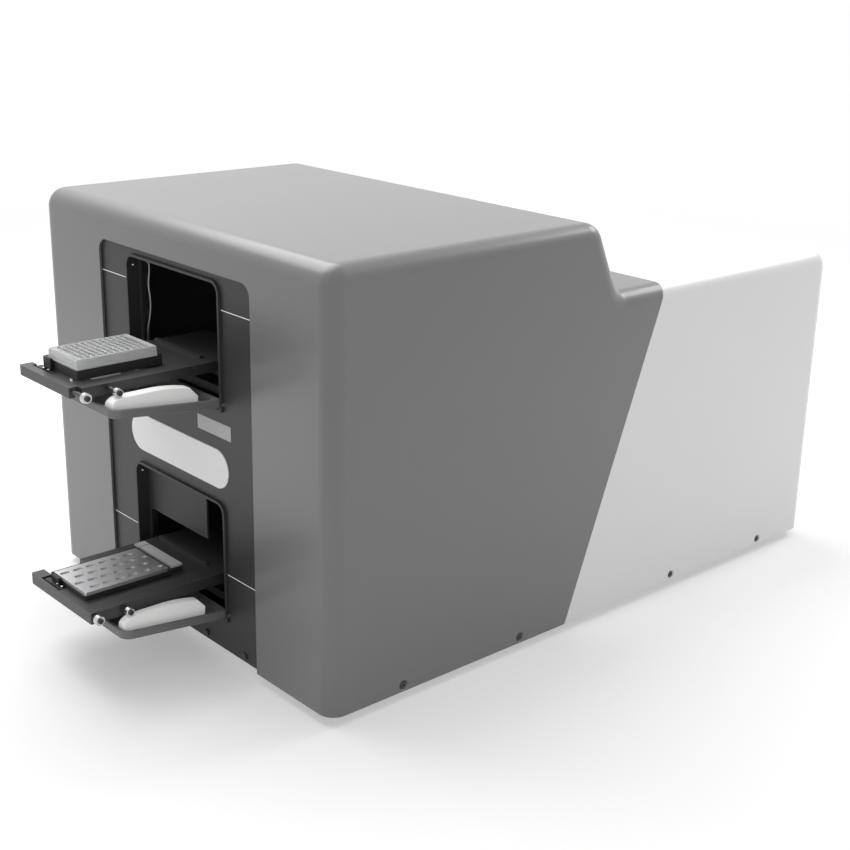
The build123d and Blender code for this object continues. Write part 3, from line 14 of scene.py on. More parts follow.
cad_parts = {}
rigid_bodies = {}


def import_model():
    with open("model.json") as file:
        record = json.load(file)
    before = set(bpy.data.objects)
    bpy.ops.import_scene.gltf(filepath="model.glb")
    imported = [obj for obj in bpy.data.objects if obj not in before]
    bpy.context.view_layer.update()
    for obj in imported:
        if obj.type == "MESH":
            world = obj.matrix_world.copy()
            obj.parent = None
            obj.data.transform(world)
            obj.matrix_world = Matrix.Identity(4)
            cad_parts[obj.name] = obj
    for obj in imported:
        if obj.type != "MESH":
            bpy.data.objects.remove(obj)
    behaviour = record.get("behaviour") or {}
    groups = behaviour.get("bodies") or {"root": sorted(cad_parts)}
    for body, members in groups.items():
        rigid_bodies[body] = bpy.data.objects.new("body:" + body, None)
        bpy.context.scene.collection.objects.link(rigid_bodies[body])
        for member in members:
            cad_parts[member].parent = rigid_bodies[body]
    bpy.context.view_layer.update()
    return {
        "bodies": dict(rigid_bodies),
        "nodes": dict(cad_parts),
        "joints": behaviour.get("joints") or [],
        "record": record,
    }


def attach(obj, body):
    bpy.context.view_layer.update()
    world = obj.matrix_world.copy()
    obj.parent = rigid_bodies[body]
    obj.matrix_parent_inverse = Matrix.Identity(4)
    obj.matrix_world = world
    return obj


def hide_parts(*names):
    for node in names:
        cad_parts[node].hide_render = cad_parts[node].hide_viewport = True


LOG = logging.getLogger("plate_reader")

# The cabinet's own frame is in millimetres, from the middle of the lower edge of its front.
MM = 0.001
FRONT_SHIFT = -452.25
FOOT_HEIGHT = 15.0

# Two points of a piece that are nearer than this, in millimetres, are one.
MERGE_GAP = 0.01
# An edge that turns more than this is bevelled, and one that turns less is shaded smooth.
BEVELLED_TURN = math.radians(50)
SMOOTH_TURN = math.radians(35)
PIN_SIDES = 24
WELL_SIDES = 16

Colour = tuple[float, float, float]
Point = tuple[float, float, float]
Pair = tuple[float, float]
Move = Callable[[Vector], Vector]


def row(x: float, y: float, z: float) -> Vector:
    """Turns a point of the cabinet's own frame, in millimetres, into the row frame, in metres."""
    return Vector((x, y + FRONT_SHIFT, z + FOOT_HEIGHT)) * MM


def shown(name: str, data: bpy.types.ID) -> bpy.types.Object:
    """Makes an object and links it to the scene.

    Args:
        name: The object's name.
        data: Its mesh, camera or lamp.

    Returns:
        The object.
    """
    made = bpy.data.objects.new(name, data)
    bpy.context.scene.collection.objects.link(made)
    return made


class Graph:
    """Lays nodes into one material or group, and joins them."""

    def __init__(self, tree: bpy.types.NodeTree) -> None:
        """Takes the tree and empties it."""
        self.tree = tree
        tree.nodes.clear()

    def add(self, kind: str, **values: object) -> bpy.types.Node:
        """Adds one node.

        Args:
            kind: The node's type, without the leading ShaderNode.
            values: Settings of the node, or its inputs, with _ for a space.

        Returns:
            The new node.
        """
        node = self.tree.nodes.new("ShaderNode" + kind)
        for name, value in values.items():
            if hasattr(node, name):
                setattr(node, name, value)
            else:
                self.feed(node, name.replace("_", " "), value)
        return node

    def feed(self, node: bpy.types.Node, name: str | int, value: object) -> None:
        """Links an output to a node's input, or sets the input's plain value.

        Args:
            node: The node that takes the value.
            name: The input's name or number.
            value: An output of another node, or a plain value.
        """
        if isinstance(value, bpy.types.NodeSocket):
            self.tree.links.new(value, node.inputs[name])
        else:
            node.inputs[name].default_value = value

    def maths(self, operation: str, first: object, second: object) -> bpy.types.NodeSocket:
        """Adds a sum of two values, held between 0 and 1.

        Args:
            operation: The sum's name in the Math node.
            first: Its first value or output.
            second: Its second value or output.

        Returns:
            The sum's output.
        """
        node = self.add("Math", operation=operation, use_clamp=True)
        self.feed(node, 0, first)
        self.feed(node, 1, second)
        return node.outputs[0]

    def blend(self, share: object, first: object, second: object) -> bpy.types.NodeSocket:
        """Mixes two colours.

        Args:
            share: How much of the second colour there is.
            first: The first colour, with its alpha.
            second: The second colour, with its alpha.

        Returns:
            The mixed colour's output.
        """
        node = self.add("Mix", data_type="RGBA")
        factor, colour_a, colour_b, result = 0, 6, 7, 2
        self.feed(node, factor, share)
        self.feed(node, colour_a, first)
        self.feed(node, colour_b, second)
        return node.outputs[result]

    def spread(self, value: object, low: float, high: float) -> bpy.types.NodeSocket:
        """Maps 0 to 1 onto another range.

        Args:
            value: The output to map.
            low: What 0 becomes.
            high: What 1 becomes.

        Returns:
            The mapped value's output.
        """
        node = self.add("MapRange", Value=value, To_Min=low, To_Max=high)
        return node.outputs[0]


class Effects:
    """The shader groups that several finishes share, each built once."""

    SLOW_SCALE = 7.0
    SLOW_DETAIL = 4.0
    FINE_DETAIL = 3.0
    # Edge mark: lightens edges, partly as rubbed edges and partly as a painted highlight along
    # them.
    EDGE_MARK_SCALE = 160.0
    EDGE_MARK_RANGE = (0.4, 1.3)
    EDGE_MARK_GAIN = 5.0
    EDGE_MARK_RADIUS = 0.0008
    EDGE_MARK_SAMPLES = 4
    FLECK_SCALE = 60.0
    FLECK_DETAIL = 8.0

    @staticmethod
    def _new(
        name: str, takes: dict[str, float], gives: tuple[str, ...]
    ) -> tuple[Graph, bpy.types.Node, bpy.types.Node]:
        """Starts a group with its sockets.

        Args:
            name: The group's name.
            takes: Its number inputs with their usual values.
            gives: Its number outputs.

        Returns:
            The graph, the input node and the output node.
        """
        tree = bpy.data.node_groups.new(name, "ShaderNodeTree")
        for label, value in takes.items():
            socket = tree.interface.new_socket(label, in_out="INPUT", socket_type="NodeSocketFloat")
            socket.default_value = value
        for label in gives:
            tree.interface.new_socket(label, in_out="OUTPUT", socket_type="NodeSocketFloat")
        graph = Graph(tree)
        return graph, tree.nodes.new("NodeGroupInput"), tree.nodes.new("NodeGroupOutput")

    @staticmethod
    def _noise(graph: Graph, scale: object, detail: float, place: object) -> bpy.types.NodeSocket:
        """Adds noise.

        Args:
            graph: The group's graph.
            scale: Its size per metre, plain or an output.
            detail: Its detail.
            place: The output with the place that it reads.

        Returns:
            The noise's output.
        """
        return graph.add("TexNoise", Vector=place, Scale=scale, Detail=detail).outputs[0]

    @classmethod
    def grain(cls) -> bpy.types.NodeTree:
        """Gives the group for fine surface grain and slow change of shade.

        Returns:
            The group, built the first time that it is asked for.
        """
        name = "surface_grain"
        if name in bpy.data.node_groups:
            return bpy.data.node_groups[name]
        takes = {"Scale": 900.0, "Stretch X": 1.0, "Stretch Y": 1.0, "Stretch Z": 1.0}
        graph, given, out = cls._new(name, takes, ("Height", "Shade"))
        stretch = graph.add("CombineXYZ")
        for index, label in enumerate(("Stretch X", "Stretch Y", "Stretch Z")):
            graph.feed(stretch, index, given.outputs[label])
        place = graph.add("VectorMath", operation="MULTIPLY")
        graph.feed(place, 0, graph.add("TexCoord").outputs["Object"])
        graph.feed(place, 1, stretch.outputs[0])
        spot = place.outputs[0]
        graph.feed(out, "Height", cls._noise(graph, given.outputs["Scale"], cls.FINE_DETAIL, spot))
        graph.feed(out, "Shade", cls._noise(graph, cls.SLOW_SCALE, cls.SLOW_DETAIL, spot))
        return graph.tree

    @classmethod
    def edges(cls) -> bpy.types.NodeTree:
        """Gives the group that marks edges: partly rubbed edges, partly a painted highlight along
        them.

        Returns:
            The group, built the first time that it is asked for.
        """
        name = "worn_edges"
        if name in bpy.data.node_groups:
            return bpy.data.node_groups[name]
        graph, given, out = cls._new(name, {"Radius": cls.EDGE_MARK_RADIUS}, ("Mask",))
        soft = graph.add("Bevel", samples=cls.EDGE_MARK_SAMPLES, Radius=given.outputs["Radius"])
        sharp = graph.add("NewGeometry")
        turn = graph.add("VectorMath", operation="DOT_PRODUCT")
        graph.feed(turn, 0, soft.outputs[0])
        graph.feed(turn, 1, sharp.outputs["Normal"])
        gap = graph.maths("SUBTRACT", 1.0, turn.outputs["Value"])
        spot = graph.add("TexCoord").outputs["Object"]
        patches = cls._noise(graph, cls.EDGE_MARK_SCALE, cls.FINE_DETAIL, spot)
        edge_patches = graph.spread(patches, *cls.EDGE_MARK_RANGE)
        broken = graph.maths("MULTIPLY", edge_patches, graph.maths("MULTIPLY", gap, cls.EDGE_MARK_GAIN))
        graph.feed(out, "Mask", broken)
        return graph.tree

    @classmethod
    def dust(cls) -> bpy.types.NodeTree:
        """Gives the group for the thin dust that lies on level faces.

        Returns:
            The group, built the first time that it is asked for.
        """
        name = "settled_dust"
        if name in bpy.data.node_groups:
            return bpy.data.node_groups[name]
        graph, given, out = cls._new(name, {"Amount": 0.2}, ("Mask",))
        parts = graph.add("SeparateXYZ", Vector=graph.add("NewGeometry").outputs["Normal"])
        spot = graph.add("TexCoord").outputs["Object"]
        fleck = cls._noise(graph, cls.FLECK_SCALE, cls.FLECK_DETAIL, spot)
        level = graph.maths("MULTIPLY", parts.outputs["Z"], fleck)
        graph.feed(out, "Mask", graph.maths("MULTIPLY", level, given.outputs["Amount"]))
        return graph.tree


@dataclass(frozen=True)
class Finish:
    """One finish: plain values on the shader, and how strongly the shared effects show.

    Attributes:
        name: The name of the record's material slot.
        colour: The main colour.
        other: The colour that slow patches lean to.
        patch: How far patches lean to the other colour.
        rough: Lowest and highest roughness.
        metallic: Share of metal.
        coat: Weight of a clear coat.
        scale: Grain per metre.
        height: Grain's depth in metres, before the gain that makes it show.
        stretch: How the grain is drawn along X, Y and Z.
        edge: How much the edge mark shows, towards edge_colour; it is partly rubbed edges and
            partly a painted highlight.
        edge_colour: Colour of a rubbed edge, also used as a painted highlight on edges.
        dust: How much dust lies on level faces.
        clear: Transmission weight.
        depth: Subsurface weight.
        glow: Emission strength: the light bar's own light, as it is a lamp, and painted light on
            the cams and the panel's lines, which are no lamps.
    """

    name: str
    colour: Colour
    other: Colour
    patch: float = 0.5
    rough: Pair = (0.4, 0.5)
    metallic: float = 0.0
    coat: float = 0.0
    scale: float = 900.0
    height: float = 0.00002
    stretch: Point = (1.0, 1.0, 1.0)
    edge: float = 0.0
    edge_colour: Colour = (0.5, 0.5, 0.5)
    dust: float = 0.0
    clear: float = 0.0
    depth: float = 0.0
    glow: float = 0.0

    def _tone(self, graph: Graph, shade: bpy.types.NodeSocket) -> bpy.types.NodeSocket:
        """Lays patches, rubbed edges with a painted edge highlight, and dust over the main colour.

        Args:
            graph: The material's graph.
            shade: The output that changes slowly over the surface.

        Returns:
            The colour's output.
        """
        start = -0.2
        share = graph.spread(shade, start, self.patch * 2 + start * (1 - self.patch))
        # Adding nothing holds the share between 0 and 1.
        held = graph.maths("ADD", share, 0.0)
        tone = graph.blend(held, (*self.colour, 1), (*self.other, 1))
        # Edges lean to edge_colour: partly rubbed edges, partly a painted highlight.
        if self.edge:
            worn_and_highlit = graph.add("Group", node_tree=Effects.edges())
            share = graph.maths("MULTIPLY", worn_and_highlit.outputs[0], self.edge)
            tone = graph.blend(share, tone, (*self.edge_colour, 1))
        if self.dust:
            dust = graph.add("Group", node_tree=Effects.dust(), Amount=self.dust)
            dust_colour = (0.62, 0.61, 0.59, 1)
            tone = graph.blend(dust.outputs[0], tone, dust_colour)
        return tone

    def material(self) -> bpy.types.Material:
        """Gives the material.

        Returns:
            The material, built the first time that it is asked for.
        """
        made = bpy.data.materials.get(self.name + "_finish")
        if made:
            return made
        made = bpy.data.materials.new(self.name + "_finish")
        made.use_nodes = True
        graph = Graph(made.node_tree)
        shader = graph.add("BsdfPrincipled")
        grain = graph.add("Group", node_tree=Effects.grain(), Scale=self.scale)
        for label, share in zip("XYZ", self.stretch):
            grain.inputs["Stretch " + label].default_value = share
        shade = grain.outputs["Shade"]
        graph.feed(shader, "Base Color", self._tone(graph, shade))
        graph.feed(shader, "Roughness", graph.spread(shade, *self.rough))
        gain, strength = 10, 0.6
        bump = graph.add("Bump", Height=grain.outputs["Height"], Distance=self.height * gain,
                         Strength=strength)
        graph.feed(shader, "Normal", bump.outputs[0])
        for label, value in (
            ("Metallic", self.metallic), ("Coat Weight", self.coat), ("Coat Roughness", 0.2),
            ("Transmission Weight", self.clear), ("Subsurface Weight", self.depth),
            ("Subsurface Scale", 0.004), ("Emission Strength", self.glow),
        ):
            shader.inputs[label].default_value = value
        # Emission is the light bar's own light, and painted light on the cams and the panel's
        # lines.
        if self.glow:
            shader.inputs["Emission Color"].default_value = (*self.colour, 1)
        graph.feed(graph.add("OutputMaterial"), 0, shader.outputs[0])
        return made


class Paint(Enum):
    """Every finish that the reader has."""

    HOOD = Finish(
        "hood_paint", (0.172, 0.172, 0.174), (0.188, 0.188, 0.19), 0.5, (0.36, 0.44),
        coat=0.45, scale=1500.0, height=0.000006, dust=0.02,
    )
    REAR = Finish(
        "rear_paint", (0.87, 0.87, 0.875), (0.9, 0.9, 0.9), 0.5, (0.34, 0.42),
        coat=0.2, scale=1300.0, height=0.000006,
    )
    PANEL = Finish(
        "panel_paint", (0.026, 0.026, 0.027), (0.034, 0.034, 0.035), 0.6, (0.42, 0.52),
        scale=1800.0, height=0.00001, edge=0.1, edge_colour=(0.06, 0.06, 0.06), dust=0.02,
    )
    COLLAR = Finish(
        "collar_plastic", (0.028, 0.028, 0.029), (0.036, 0.036, 0.037), 0.6, (0.5, 0.6),
        scale=1600.0, height=0.00002, edge=0.08, edge_colour=(0.03, 0.03, 0.03),
    )
    DOOR = Finish(
        "door_plastic", (0.17, 0.17, 0.172), (0.195, 0.195, 0.197), 0.6, (0.38, 0.48),
        scale=1400.0, height=0.00003, edge=0.4, edge_colour=(0.3, 0.3, 0.3), dust=0.05,
    )
    # The cams and the panel's lines emit a little: painted light, since they are no lamps.
    CAM = Finish(
        "cam_plastic", (0.9, 0.9, 0.89), (0.93, 0.93, 0.92), 0.5, (0.3, 0.4),
        scale=900.0, depth=0.1, glow=0.18,
    )
    ANODISED = Finish(
        "black_anodised", (0.03, 0.03, 0.031), (0.042, 0.042, 0.043), 0.6, (0.3, 0.42),
        scale=2400.0, height=0.00001, edge=0.5, edge_colour=(0.2, 0.2, 0.2), dust=0.04,
    )
    NEST = Finish(
        "nest_plastic", (0.013, 0.013, 0.014), (0.02, 0.02, 0.021), 0.6, (0.42, 0.55),
        scale=1500.0, height=0.00002, edge=0.3, edge_colour=(0.08, 0.08, 0.08),
    )
    ALUMINIUM = Finish(
        "plain_aluminium", (0.62, 0.62, 0.63), (0.72, 0.72, 0.73), 0.6, (0.28, 0.42), 1.0,
        scale=900.0, height=0.00001, stretch=(1.0, 0.08, 1.0),
    )
    GROUND = Finish(
        "ground_steel", (0.5, 0.5, 0.51), (0.6, 0.6, 0.61), 0.6, (0.2, 0.32), 1.0,
        scale=1200.0, height=0.00001, stretch=(1.0, 0.06, 1.0),
    )
    BRIGHT = Finish(
        "bright_steel", (0.68, 0.68, 0.69), (0.78, 0.78, 0.79), 0.5, (0.14, 0.24), 1.0,
        scale=1800.0, height=0.000004,
    )
    RUBBER = Finish(
        "foot_rubber", (0.016, 0.016, 0.016), (0.03, 0.03, 0.03), 0.7, (0.7, 0.85),
        scale=700.0, height=0.00006, dust=0.1,
    )
    DIFFUSER = Finish(
        "diffuser", (0.85, 0.85, 0.85), (0.88, 0.88, 0.88), 0.5, (0.3, 0.36),
        coat=0.2, scale=900.0, height=0.000004, depth=0.1, glow=0.08,
    )
    CLEAR = Finish(
        "plate_plastic", (0.86, 0.87, 0.88), (0.9, 0.9, 0.9), 0.5, (0.1, 0.18),
        scale=500.0, height=0.000004, clear=0.4,
    )
    REFERENCE = Finish(
        "reference_plastic", (0.5, 0.5, 0.5), (0.56, 0.56, 0.56), 0.5, (0.4, 0.5),
        scale=1100.0, height=0.00002,
    )
    LEAD = Finish(
        "lead_jacket", (0.55, 0.55, 0.56), (0.66, 0.66, 0.67), 0.5, (0.35, 0.45), scale=900.0,
    )
    CASE = Finish(
        "case_paint", (0.3, 0.31, 0.33), (0.36, 0.37, 0.39), 0.5, (0.42, 0.52),
        scale=1200.0, height=0.00003, edge=0.3,
    )
    LAMINATE = Finish(
        "board_laminate", (0.02, 0.11, 0.05), (0.03, 0.15, 0.07), 0.6, (0.3, 0.4), scale=900.0,
    )
    BLACK = Finish(
        "black_plastic", (0.014, 0.014, 0.014), (0.022, 0.022, 0.022), 0.6, (0.45, 0.58),
        scale=1300.0, height=0.00003, edge=0.2, edge_colour=(0.07, 0.07, 0.07),
    )

    def dress(self, frame: dict, *nodes: str) -> None:
        """Gives this finish to CAD nodes.

        Args:
            frame: What the frame loader returned.
            nodes: The nodes' names.
        """
        for name in nodes:
            materials = frame["nodes"][name].data.materials
            materials.clear()
            materials.append(self.value.material())


class Shaper:
    """Builds one piece's mesh with mesh operators, at rest in the row frame."""

    def __init__(self, name: str) -> None:
        """Starts an empty piece of this name."""
        self.name = name
        self.mesh = bmesh.new()

    def block(self, low: Point, high: Point) -> None:
        """Adds a box.

        Args:
            low: Its lowest corner in the cabinet's frame, in millimetres.
            high: Its highest corner.
        """
        first, last = row(*low), row(*high)
        place = Matrix.Translation((first + last) / 2) @ Matrix.Diagonal((*(last - first), 1))
        bmesh.ops.create_cube(self.mesh, size=1.0, matrix=place)

    def pin(self, foot: Point, radius: float, length: float) -> None:
        """Adds an upright round pin.

        Args:
            foot: The centre of its foot in the cabinet's frame, in millimetres.
            radius: Its radius in millimetres.
            length: Its length in millimetres.
        """
        place = Matrix.Translation(row(*foot)) @ Matrix.Translation((0, 0, length * MM / 2))
        bmesh.ops.create_cone(self.mesh, cap_ends=True, segments=PIN_SIDES, radius1=radius * MM,
                              radius2=radius * MM, depth=length * MM, matrix=place)

    def ring(self, edges: list[bmesh.types.BMEdge], move: Move) -> list[bmesh.types.BMEdge]:
        """Extrudes a loop of edges.

        Args:
            edges: The loop.
            move: Gives each new point's place from its old one.

        Returns:
            The new loop.
        """
        made = bmesh.ops.extrude_edge_only(self.mesh, edges=edges)["geom"]
        for vert in (item for item in made if isinstance(item, bmesh.types.BMVert)):
            vert.co = move(vert.co)
        return [item for item in made if isinstance(item, bmesh.types.BMEdge) and item.is_boundary]

    def bevel(self, width: float) -> None:
        """Rounds every edge that turns sharply.

        Args:
            width: The bevel's width in millimetres.
        """
        sharp = [edge for edge in self.mesh.edges if edge.calc_face_angle(0.0) > BEVELLED_TURN]
        bmesh.ops.bevel(self.mesh, geom=sharp, offset=width * MM, segments=2, profile=0.5,
                        affect="EDGES", material=-1, clamp_overlap=True)

    def make(self, body: str, paint: Paint, *replaced: str, smooth: bool = False) -> None:
        """Turns the mesh into a piece.

        Args:
            body: The body that it rides on.
            paint: Its finish.
            replaced: CAD nodes that it stands for.
            smooth: Whether its shallow edges are shaded smooth.
        """
        bmesh.ops.recalc_face_normals(self.mesh, faces=self.mesh.faces)
        if smooth:
            for face in self.mesh.faces:
                face.smooth = True
            for edge in self.mesh.edges:
                edge.smooth = edge.calc_face_angle(0.0) < SMOOTH_TURN
        data = bpy.data.meshes.new(self.name)
        self.mesh.to_mesh(data)
        self.mesh.free()
        data.materials.append(paint.value.material())
        piece = shown(self.name, data)
        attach(piece, body)
        if replaced:
            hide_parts(*replaced)
        LOG.info("piece %s has %d faces", self.name, len(data.polygons))


@dataclass(frozen=True)
class WellPlate:
    """The sample plate with its 96 round wells.

    Attributes:
        centre: Middle of its foot at rest, in the cabinet's frame, in millimetres.
        half: Half its width and half its length.
        height: Its height.
        wells: How many wells there are across and along.
        pitch: Distance between wells.
        mouth: Outer radius of a well's rim, and radius of its mouth and floor.
        rim: How far the rims stand out of the deck.
        depth: Depth of a well.
        border: How far in the raised border starts, how far in it is level, and where it ends.
        wall: How far in the wall is, and how far down the border's step goes.
        skirt: Height of the skirt.
        chamfer: Width of the skirt's chamfer.
        hollow: How far in the foot's hollow starts and ends, and how high it is.
        corner: Radius of the outer corners, and the least that an inner one has.
    """

    centre: Point = (0.0, -112.1, 456.0)
    half: Pair = (42.74, 63.88)
    height: float = 14.35
    wells: tuple[int, int] = (8, 12)
    pitch: float = 9.0
    mouth: Point = (3.9, 3.35, 3.1)
    rim: float = 0.7
    depth: float = 10.8
    border: Point = (4.2, 4.0, 2.6)
    wall: float = 1.3
    skirt: float = 2.4
    chamfer: float = 0.15
    hollow: Point = (2.0, 2.2, 1.4)
    corner: Pair = (3.0, 0.8)

    def _well(self, shaper: Shaper, x: float, y: float) -> None:
        """Adds one square of the deck with its well.

        Args:
            shaper: The plate's shaper.
            x: The well's place across, in millimetres of the cabinet's frame.
            y: Its place along.
        """
        middle = row(x, y, self.centre[2] + self.height - self.rim)
        outer, inner, under = (radius * MM for radius in self.mouth)
        made = bmesh.ops.create_circle(shaper.mesh, cap_ends=False, segments=WELL_SIDES,
                                       radius=outer, matrix=Matrix.Translation(middle))["verts"]
        edges = list(dict.fromkeys(edge for vert in made for edge in vert.link_edges))

        def to_circle(radius: float, rise: float) -> Move:
            """Gives the move to a circle of this radius at this height over the deck."""

            def move(point: Vector) -> Vector:
                """Moves one point."""
                flat = Vector((point.x - middle.x, point.y - middle.y, 0.0)).normalized() * radius
                return Vector((middle.x + flat.x, middle.y + flat.y, middle.z + rise))

            return move

        def to_square(point: Vector) -> Vector:
            """Moves one point out to the square's side."""
            flat = Vector((point.x - middle.x, point.y - middle.y, 0.0))
            return middle + flat * (self.pitch / 2 * MM / max(abs(flat.x), abs(flat.y)))

        shaper.ring(edges, to_square)
        top = self.rim * MM
        loop = edges
        for radius, rise in ((outer, top), (inner, top), (under, top - self.depth * MM)):
            loop = shaper.ring(loop, to_circle(radius, rise))
        bmesh.ops.edgeloop_fill(shaper.mesh, edges=loop)

    def _outline(self, inset: float, rise: float) -> Move:
        """Gives the move that takes a point to the plate's outline at one height.

        Args:
            inset: How far in from the skirt the outline is, in millimetres.
            rise: Its height over the plate's foot.

        Returns:
            The move.
        """
        middle = row(*self.centre)
        half = [(size - inset) * MM for size in self.half]
        largest, least = self.corner
        radius = max(largest - inset, least) * MM

        def move(point: Vector) -> Vector:
            """Moves one point."""
            flat = [point.x - middle.x, point.y - middle.y]
            reach = max(abs(flat[0]) / half[0], abs(flat[1]) / half[1])
            flat = [value / reach for value in flat]
            past = [abs(value) - (limit - radius) for value, limit in zip(flat, half)]
            if min(past) > 0:
                length = math.hypot(*past)
                flat = [
                    math.copysign(limit - radius + over / length * radius, value)
                    for value, limit, over in zip(flat, half, past)
                ]
            return Vector((middle.x + flat[0], middle.y + flat[1], middle.z + rise * MM))

        return move

    def build(self) -> None:
        """Builds the plate: its wells, then the border, wall, skirt and foot around them."""
        shaper = Shaper("well_plate")
        across, along = self.wells
        for column in range(across):
            for line in range(along):
                x = self.centre[0] + (column - (across - 1) / 2) * self.pitch
                self._well(shaper, x, self.centre[1] + (line - (along - 1) / 2) * self.pitch)
        bmesh.ops.remove_doubles(shaper.mesh, verts=shaper.mesh.verts, dist=MERGE_GAP * MM)
        loop = [edge for edge in shaper.mesh.edges if edge.is_boundary]
        top, shoulder = self.height, self.height - self.wall
        start, level, end = self.border
        entry, inside, roof = self.hollow
        for inset, rise in (
            (start, top - self.rim), (level, top), (end, top), (end, shoulder),
            (self.wall, shoulder), (self.wall, self.skirt), (self.chamfer, self.skirt),
            (0.0, self.skirt - self.chamfer), (0.0, 0.0), (entry, 0.0), (inside, roof),
        ):
            loop = shaper.ring(loop, self._outline(inset, rise))
        bmesh.ops.edgeloop_fill(shaper.mesh, edges=loop)
        shaper.make("microplate_body", Paint.CLEAR, "microplate", smooth=True)


@dataclass(frozen=True)
class SoftBox:
    """One soft box of the studio, in metres of the row frame.

    Attributes:
        name: The lamp's name.
        place: Where it hangs.
        aim: What it points at.
        size: Its width and height.
        power: Its power in watts.
    """

    name: str
    place: Point
    aim: Point
    size: Pair
    power: float

    def hang(self) -> None:
        """Hangs the lamp."""
        data = bpy.data.lights.new(self.name, "AREA")
        data.shape = "RECTANGLE"
        data.size, data.size_y = self.size
        data.energy = self.power
        lamp = shown(self.name, data)
        lamp.location = self.place
        ahead = Vector(self.aim) - Vector(self.place)
        lamp.rotation_euler = ahead.to_track_quat("-Z", "Y").to_euler()


@dataclass
class Studio:
    """Camera, pale floor, sky and lamps.

    Attributes:
        yaw: Camera's turn to the left of the row's +Y, in degrees.
        pitch: Camera's look down.
        roll: Camera's roll.
        place: Camera's place in the cabinet's frame, in millimetres.
        focal: Focal length in pixels of the photograph's width.
        width: The photograph's width in pixels.
        floor_half: Half the floor's side, in metres.
        floor_shade: The floor's colour.
        floor_lift: How much the floor glows for the camera.
        floor_fade: How far from the middle the floor starts and ends to fade to white.
        sky_level: The sky's plain light.
        lamps: The soft boxes.
    """

    yaw: float = 48.14
    pitch: float = 18.73
    roll: float = -1.18
    place: Point = (1733.59, -1054.69, 1014.92)
    focal: float = 1420.48
    width: float = 850.0
    floor_half: float = 60.0
    floor_shade: float = 0.82
    floor_lift: float = 0.27
    floor_fade: Pair = (1.6, 4.0)
    sky_level: float = 0.55
    lamps: tuple[SoftBox, ...] = (
        SoftBox("overhead", (-1.3, -0.2, 2.9), (0, 0.0, 0.4), (2.6, 2.6), 74.0),
        SoftBox("behind", (0.6, 2.8, 2.4), (0.1, 0.0, 0.5), (1.6, 1.0), 30.0),
    )

    def camera(self) -> None:
        """Sets the camera where the photograph was taken from."""
        yaw, pitch, roll = (math.radians(angle) for angle in (self.yaw, self.pitch, self.roll))
        level = math.cos(pitch)
        ahead = Vector((-math.sin(yaw) * level, math.cos(yaw) * level, -math.sin(pitch)))
        right = Vector((math.cos(yaw), math.sin(yaw), 0))
        down = ahead.cross(right)
        across = right * math.cos(roll) + down * math.sin(roll)
        under = down * math.cos(roll) - right * math.sin(roll)
        data = bpy.data.cameras.new("camera")
        data.sensor_width = 36.0
        data.lens = self.focal / self.width * data.sensor_width
        data.clip_start, data.clip_end = 0.01, 200.0
        camera = shown("camera", data)
        turn = Matrix((across, -under, -ahead)).transposed().to_4x4()
        camera.matrix_world = Matrix.Translation(row(*self.place)) @ turn
        bpy.context.scene.camera = camera

    def floor(self) -> None:
        """Lays the pale floor, which fades to the backdrop's white far out."""
        mesh = bmesh.new()
        bmesh.ops.create_grid(mesh, x_segments=2, y_segments=2, size=self.floor_half)
        data = bpy.data.meshes.new("studio_floor")
        mesh.to_mesh(data)
        mesh.free()
        material = bpy.data.materials.new("studio_floor")
        material.use_nodes = True
        graph = Graph(material.node_tree)
        lit = graph.add("BsdfPrincipled", Roughness=0.9)
        graph.feed(lit, "Base Color", (*(self.floor_shade,) * 3, 1))
        graph.feed(lit, "Specular IOR Level", 0.0)
        seen = self._seen(graph)
        lift = graph.add("Emission", Strength=graph.maths("MULTIPLY", seen, self.floor_lift))
        near = graph.add("AddShader")
        graph.feed(near, 0, lit.outputs[0])
        graph.feed(near, 1, lift.outputs[0])
        white = graph.add("Emission", Strength=1.0)
        far = graph.add("VectorMath", operation="LENGTH")
        graph.feed(far, 0, graph.add("TexCoord").outputs["Object"])
        start, end = self.floor_fade
        share = graph.add("MapRange", interpolation_type="SMOOTHSTEP", Value=far.outputs["Value"],
                          From_Min=start, From_Max=end)
        mix = graph.add("MixShader")
        graph.feed(mix, 0, graph.maths("MULTIPLY", share.outputs[0], seen))
        graph.feed(mix, 1, near.outputs[0])
        graph.feed(mix, 2, white.outputs[0])
        graph.feed(graph.add("OutputMaterial"), 0, mix.outputs[0])
        data.materials.append(material)
        shown("studio_floor", data)

    @staticmethod
    def _seen(graph: Graph) -> bpy.types.NodeSocket:
        """Tells rays that show the backdrop from those that only light the object.

        Args:
            graph: The graph of the floor or of the sky.

        Returns:
            An output that is 1 for the camera's rays, and for those in gloss and clear plastic.
        """
        path = graph.add("LightPath")
        direct = graph.maths("ADD", path.outputs["Is Camera Ray"], path.outputs["Is Glossy Ray"])
        return graph.maths("ADD", direct, path.outputs["Is Transmission Ray"])

    def sky(self) -> None:
        """Makes the even sky: white where it is seen, and plain light elsewhere."""
        world = bpy.data.worlds.new("studio")
        world.use_nodes = True
        graph = Graph(world.node_tree)
        strength = graph.spread(self._seen(graph), self.sky_level, 1.0)
        sky = graph.add("Background", Strength=strength)
        graph.feed(sky, "Color", (1, 1, 1, 1))
        graph.feed(graph.add("OutputWorld"), 0, sky.outputs[0])
        bpy.context.scene.world = world

    def build(self) -> None:
        """Sets up the whole studio."""
        bpy.context.scene.view_settings.view_transform = "Standard"
        self.camera()
        self.floor()
        self.sky()
        for lamp in self.lamps:
            lamp.hang()
        LOG.info("studio is set")


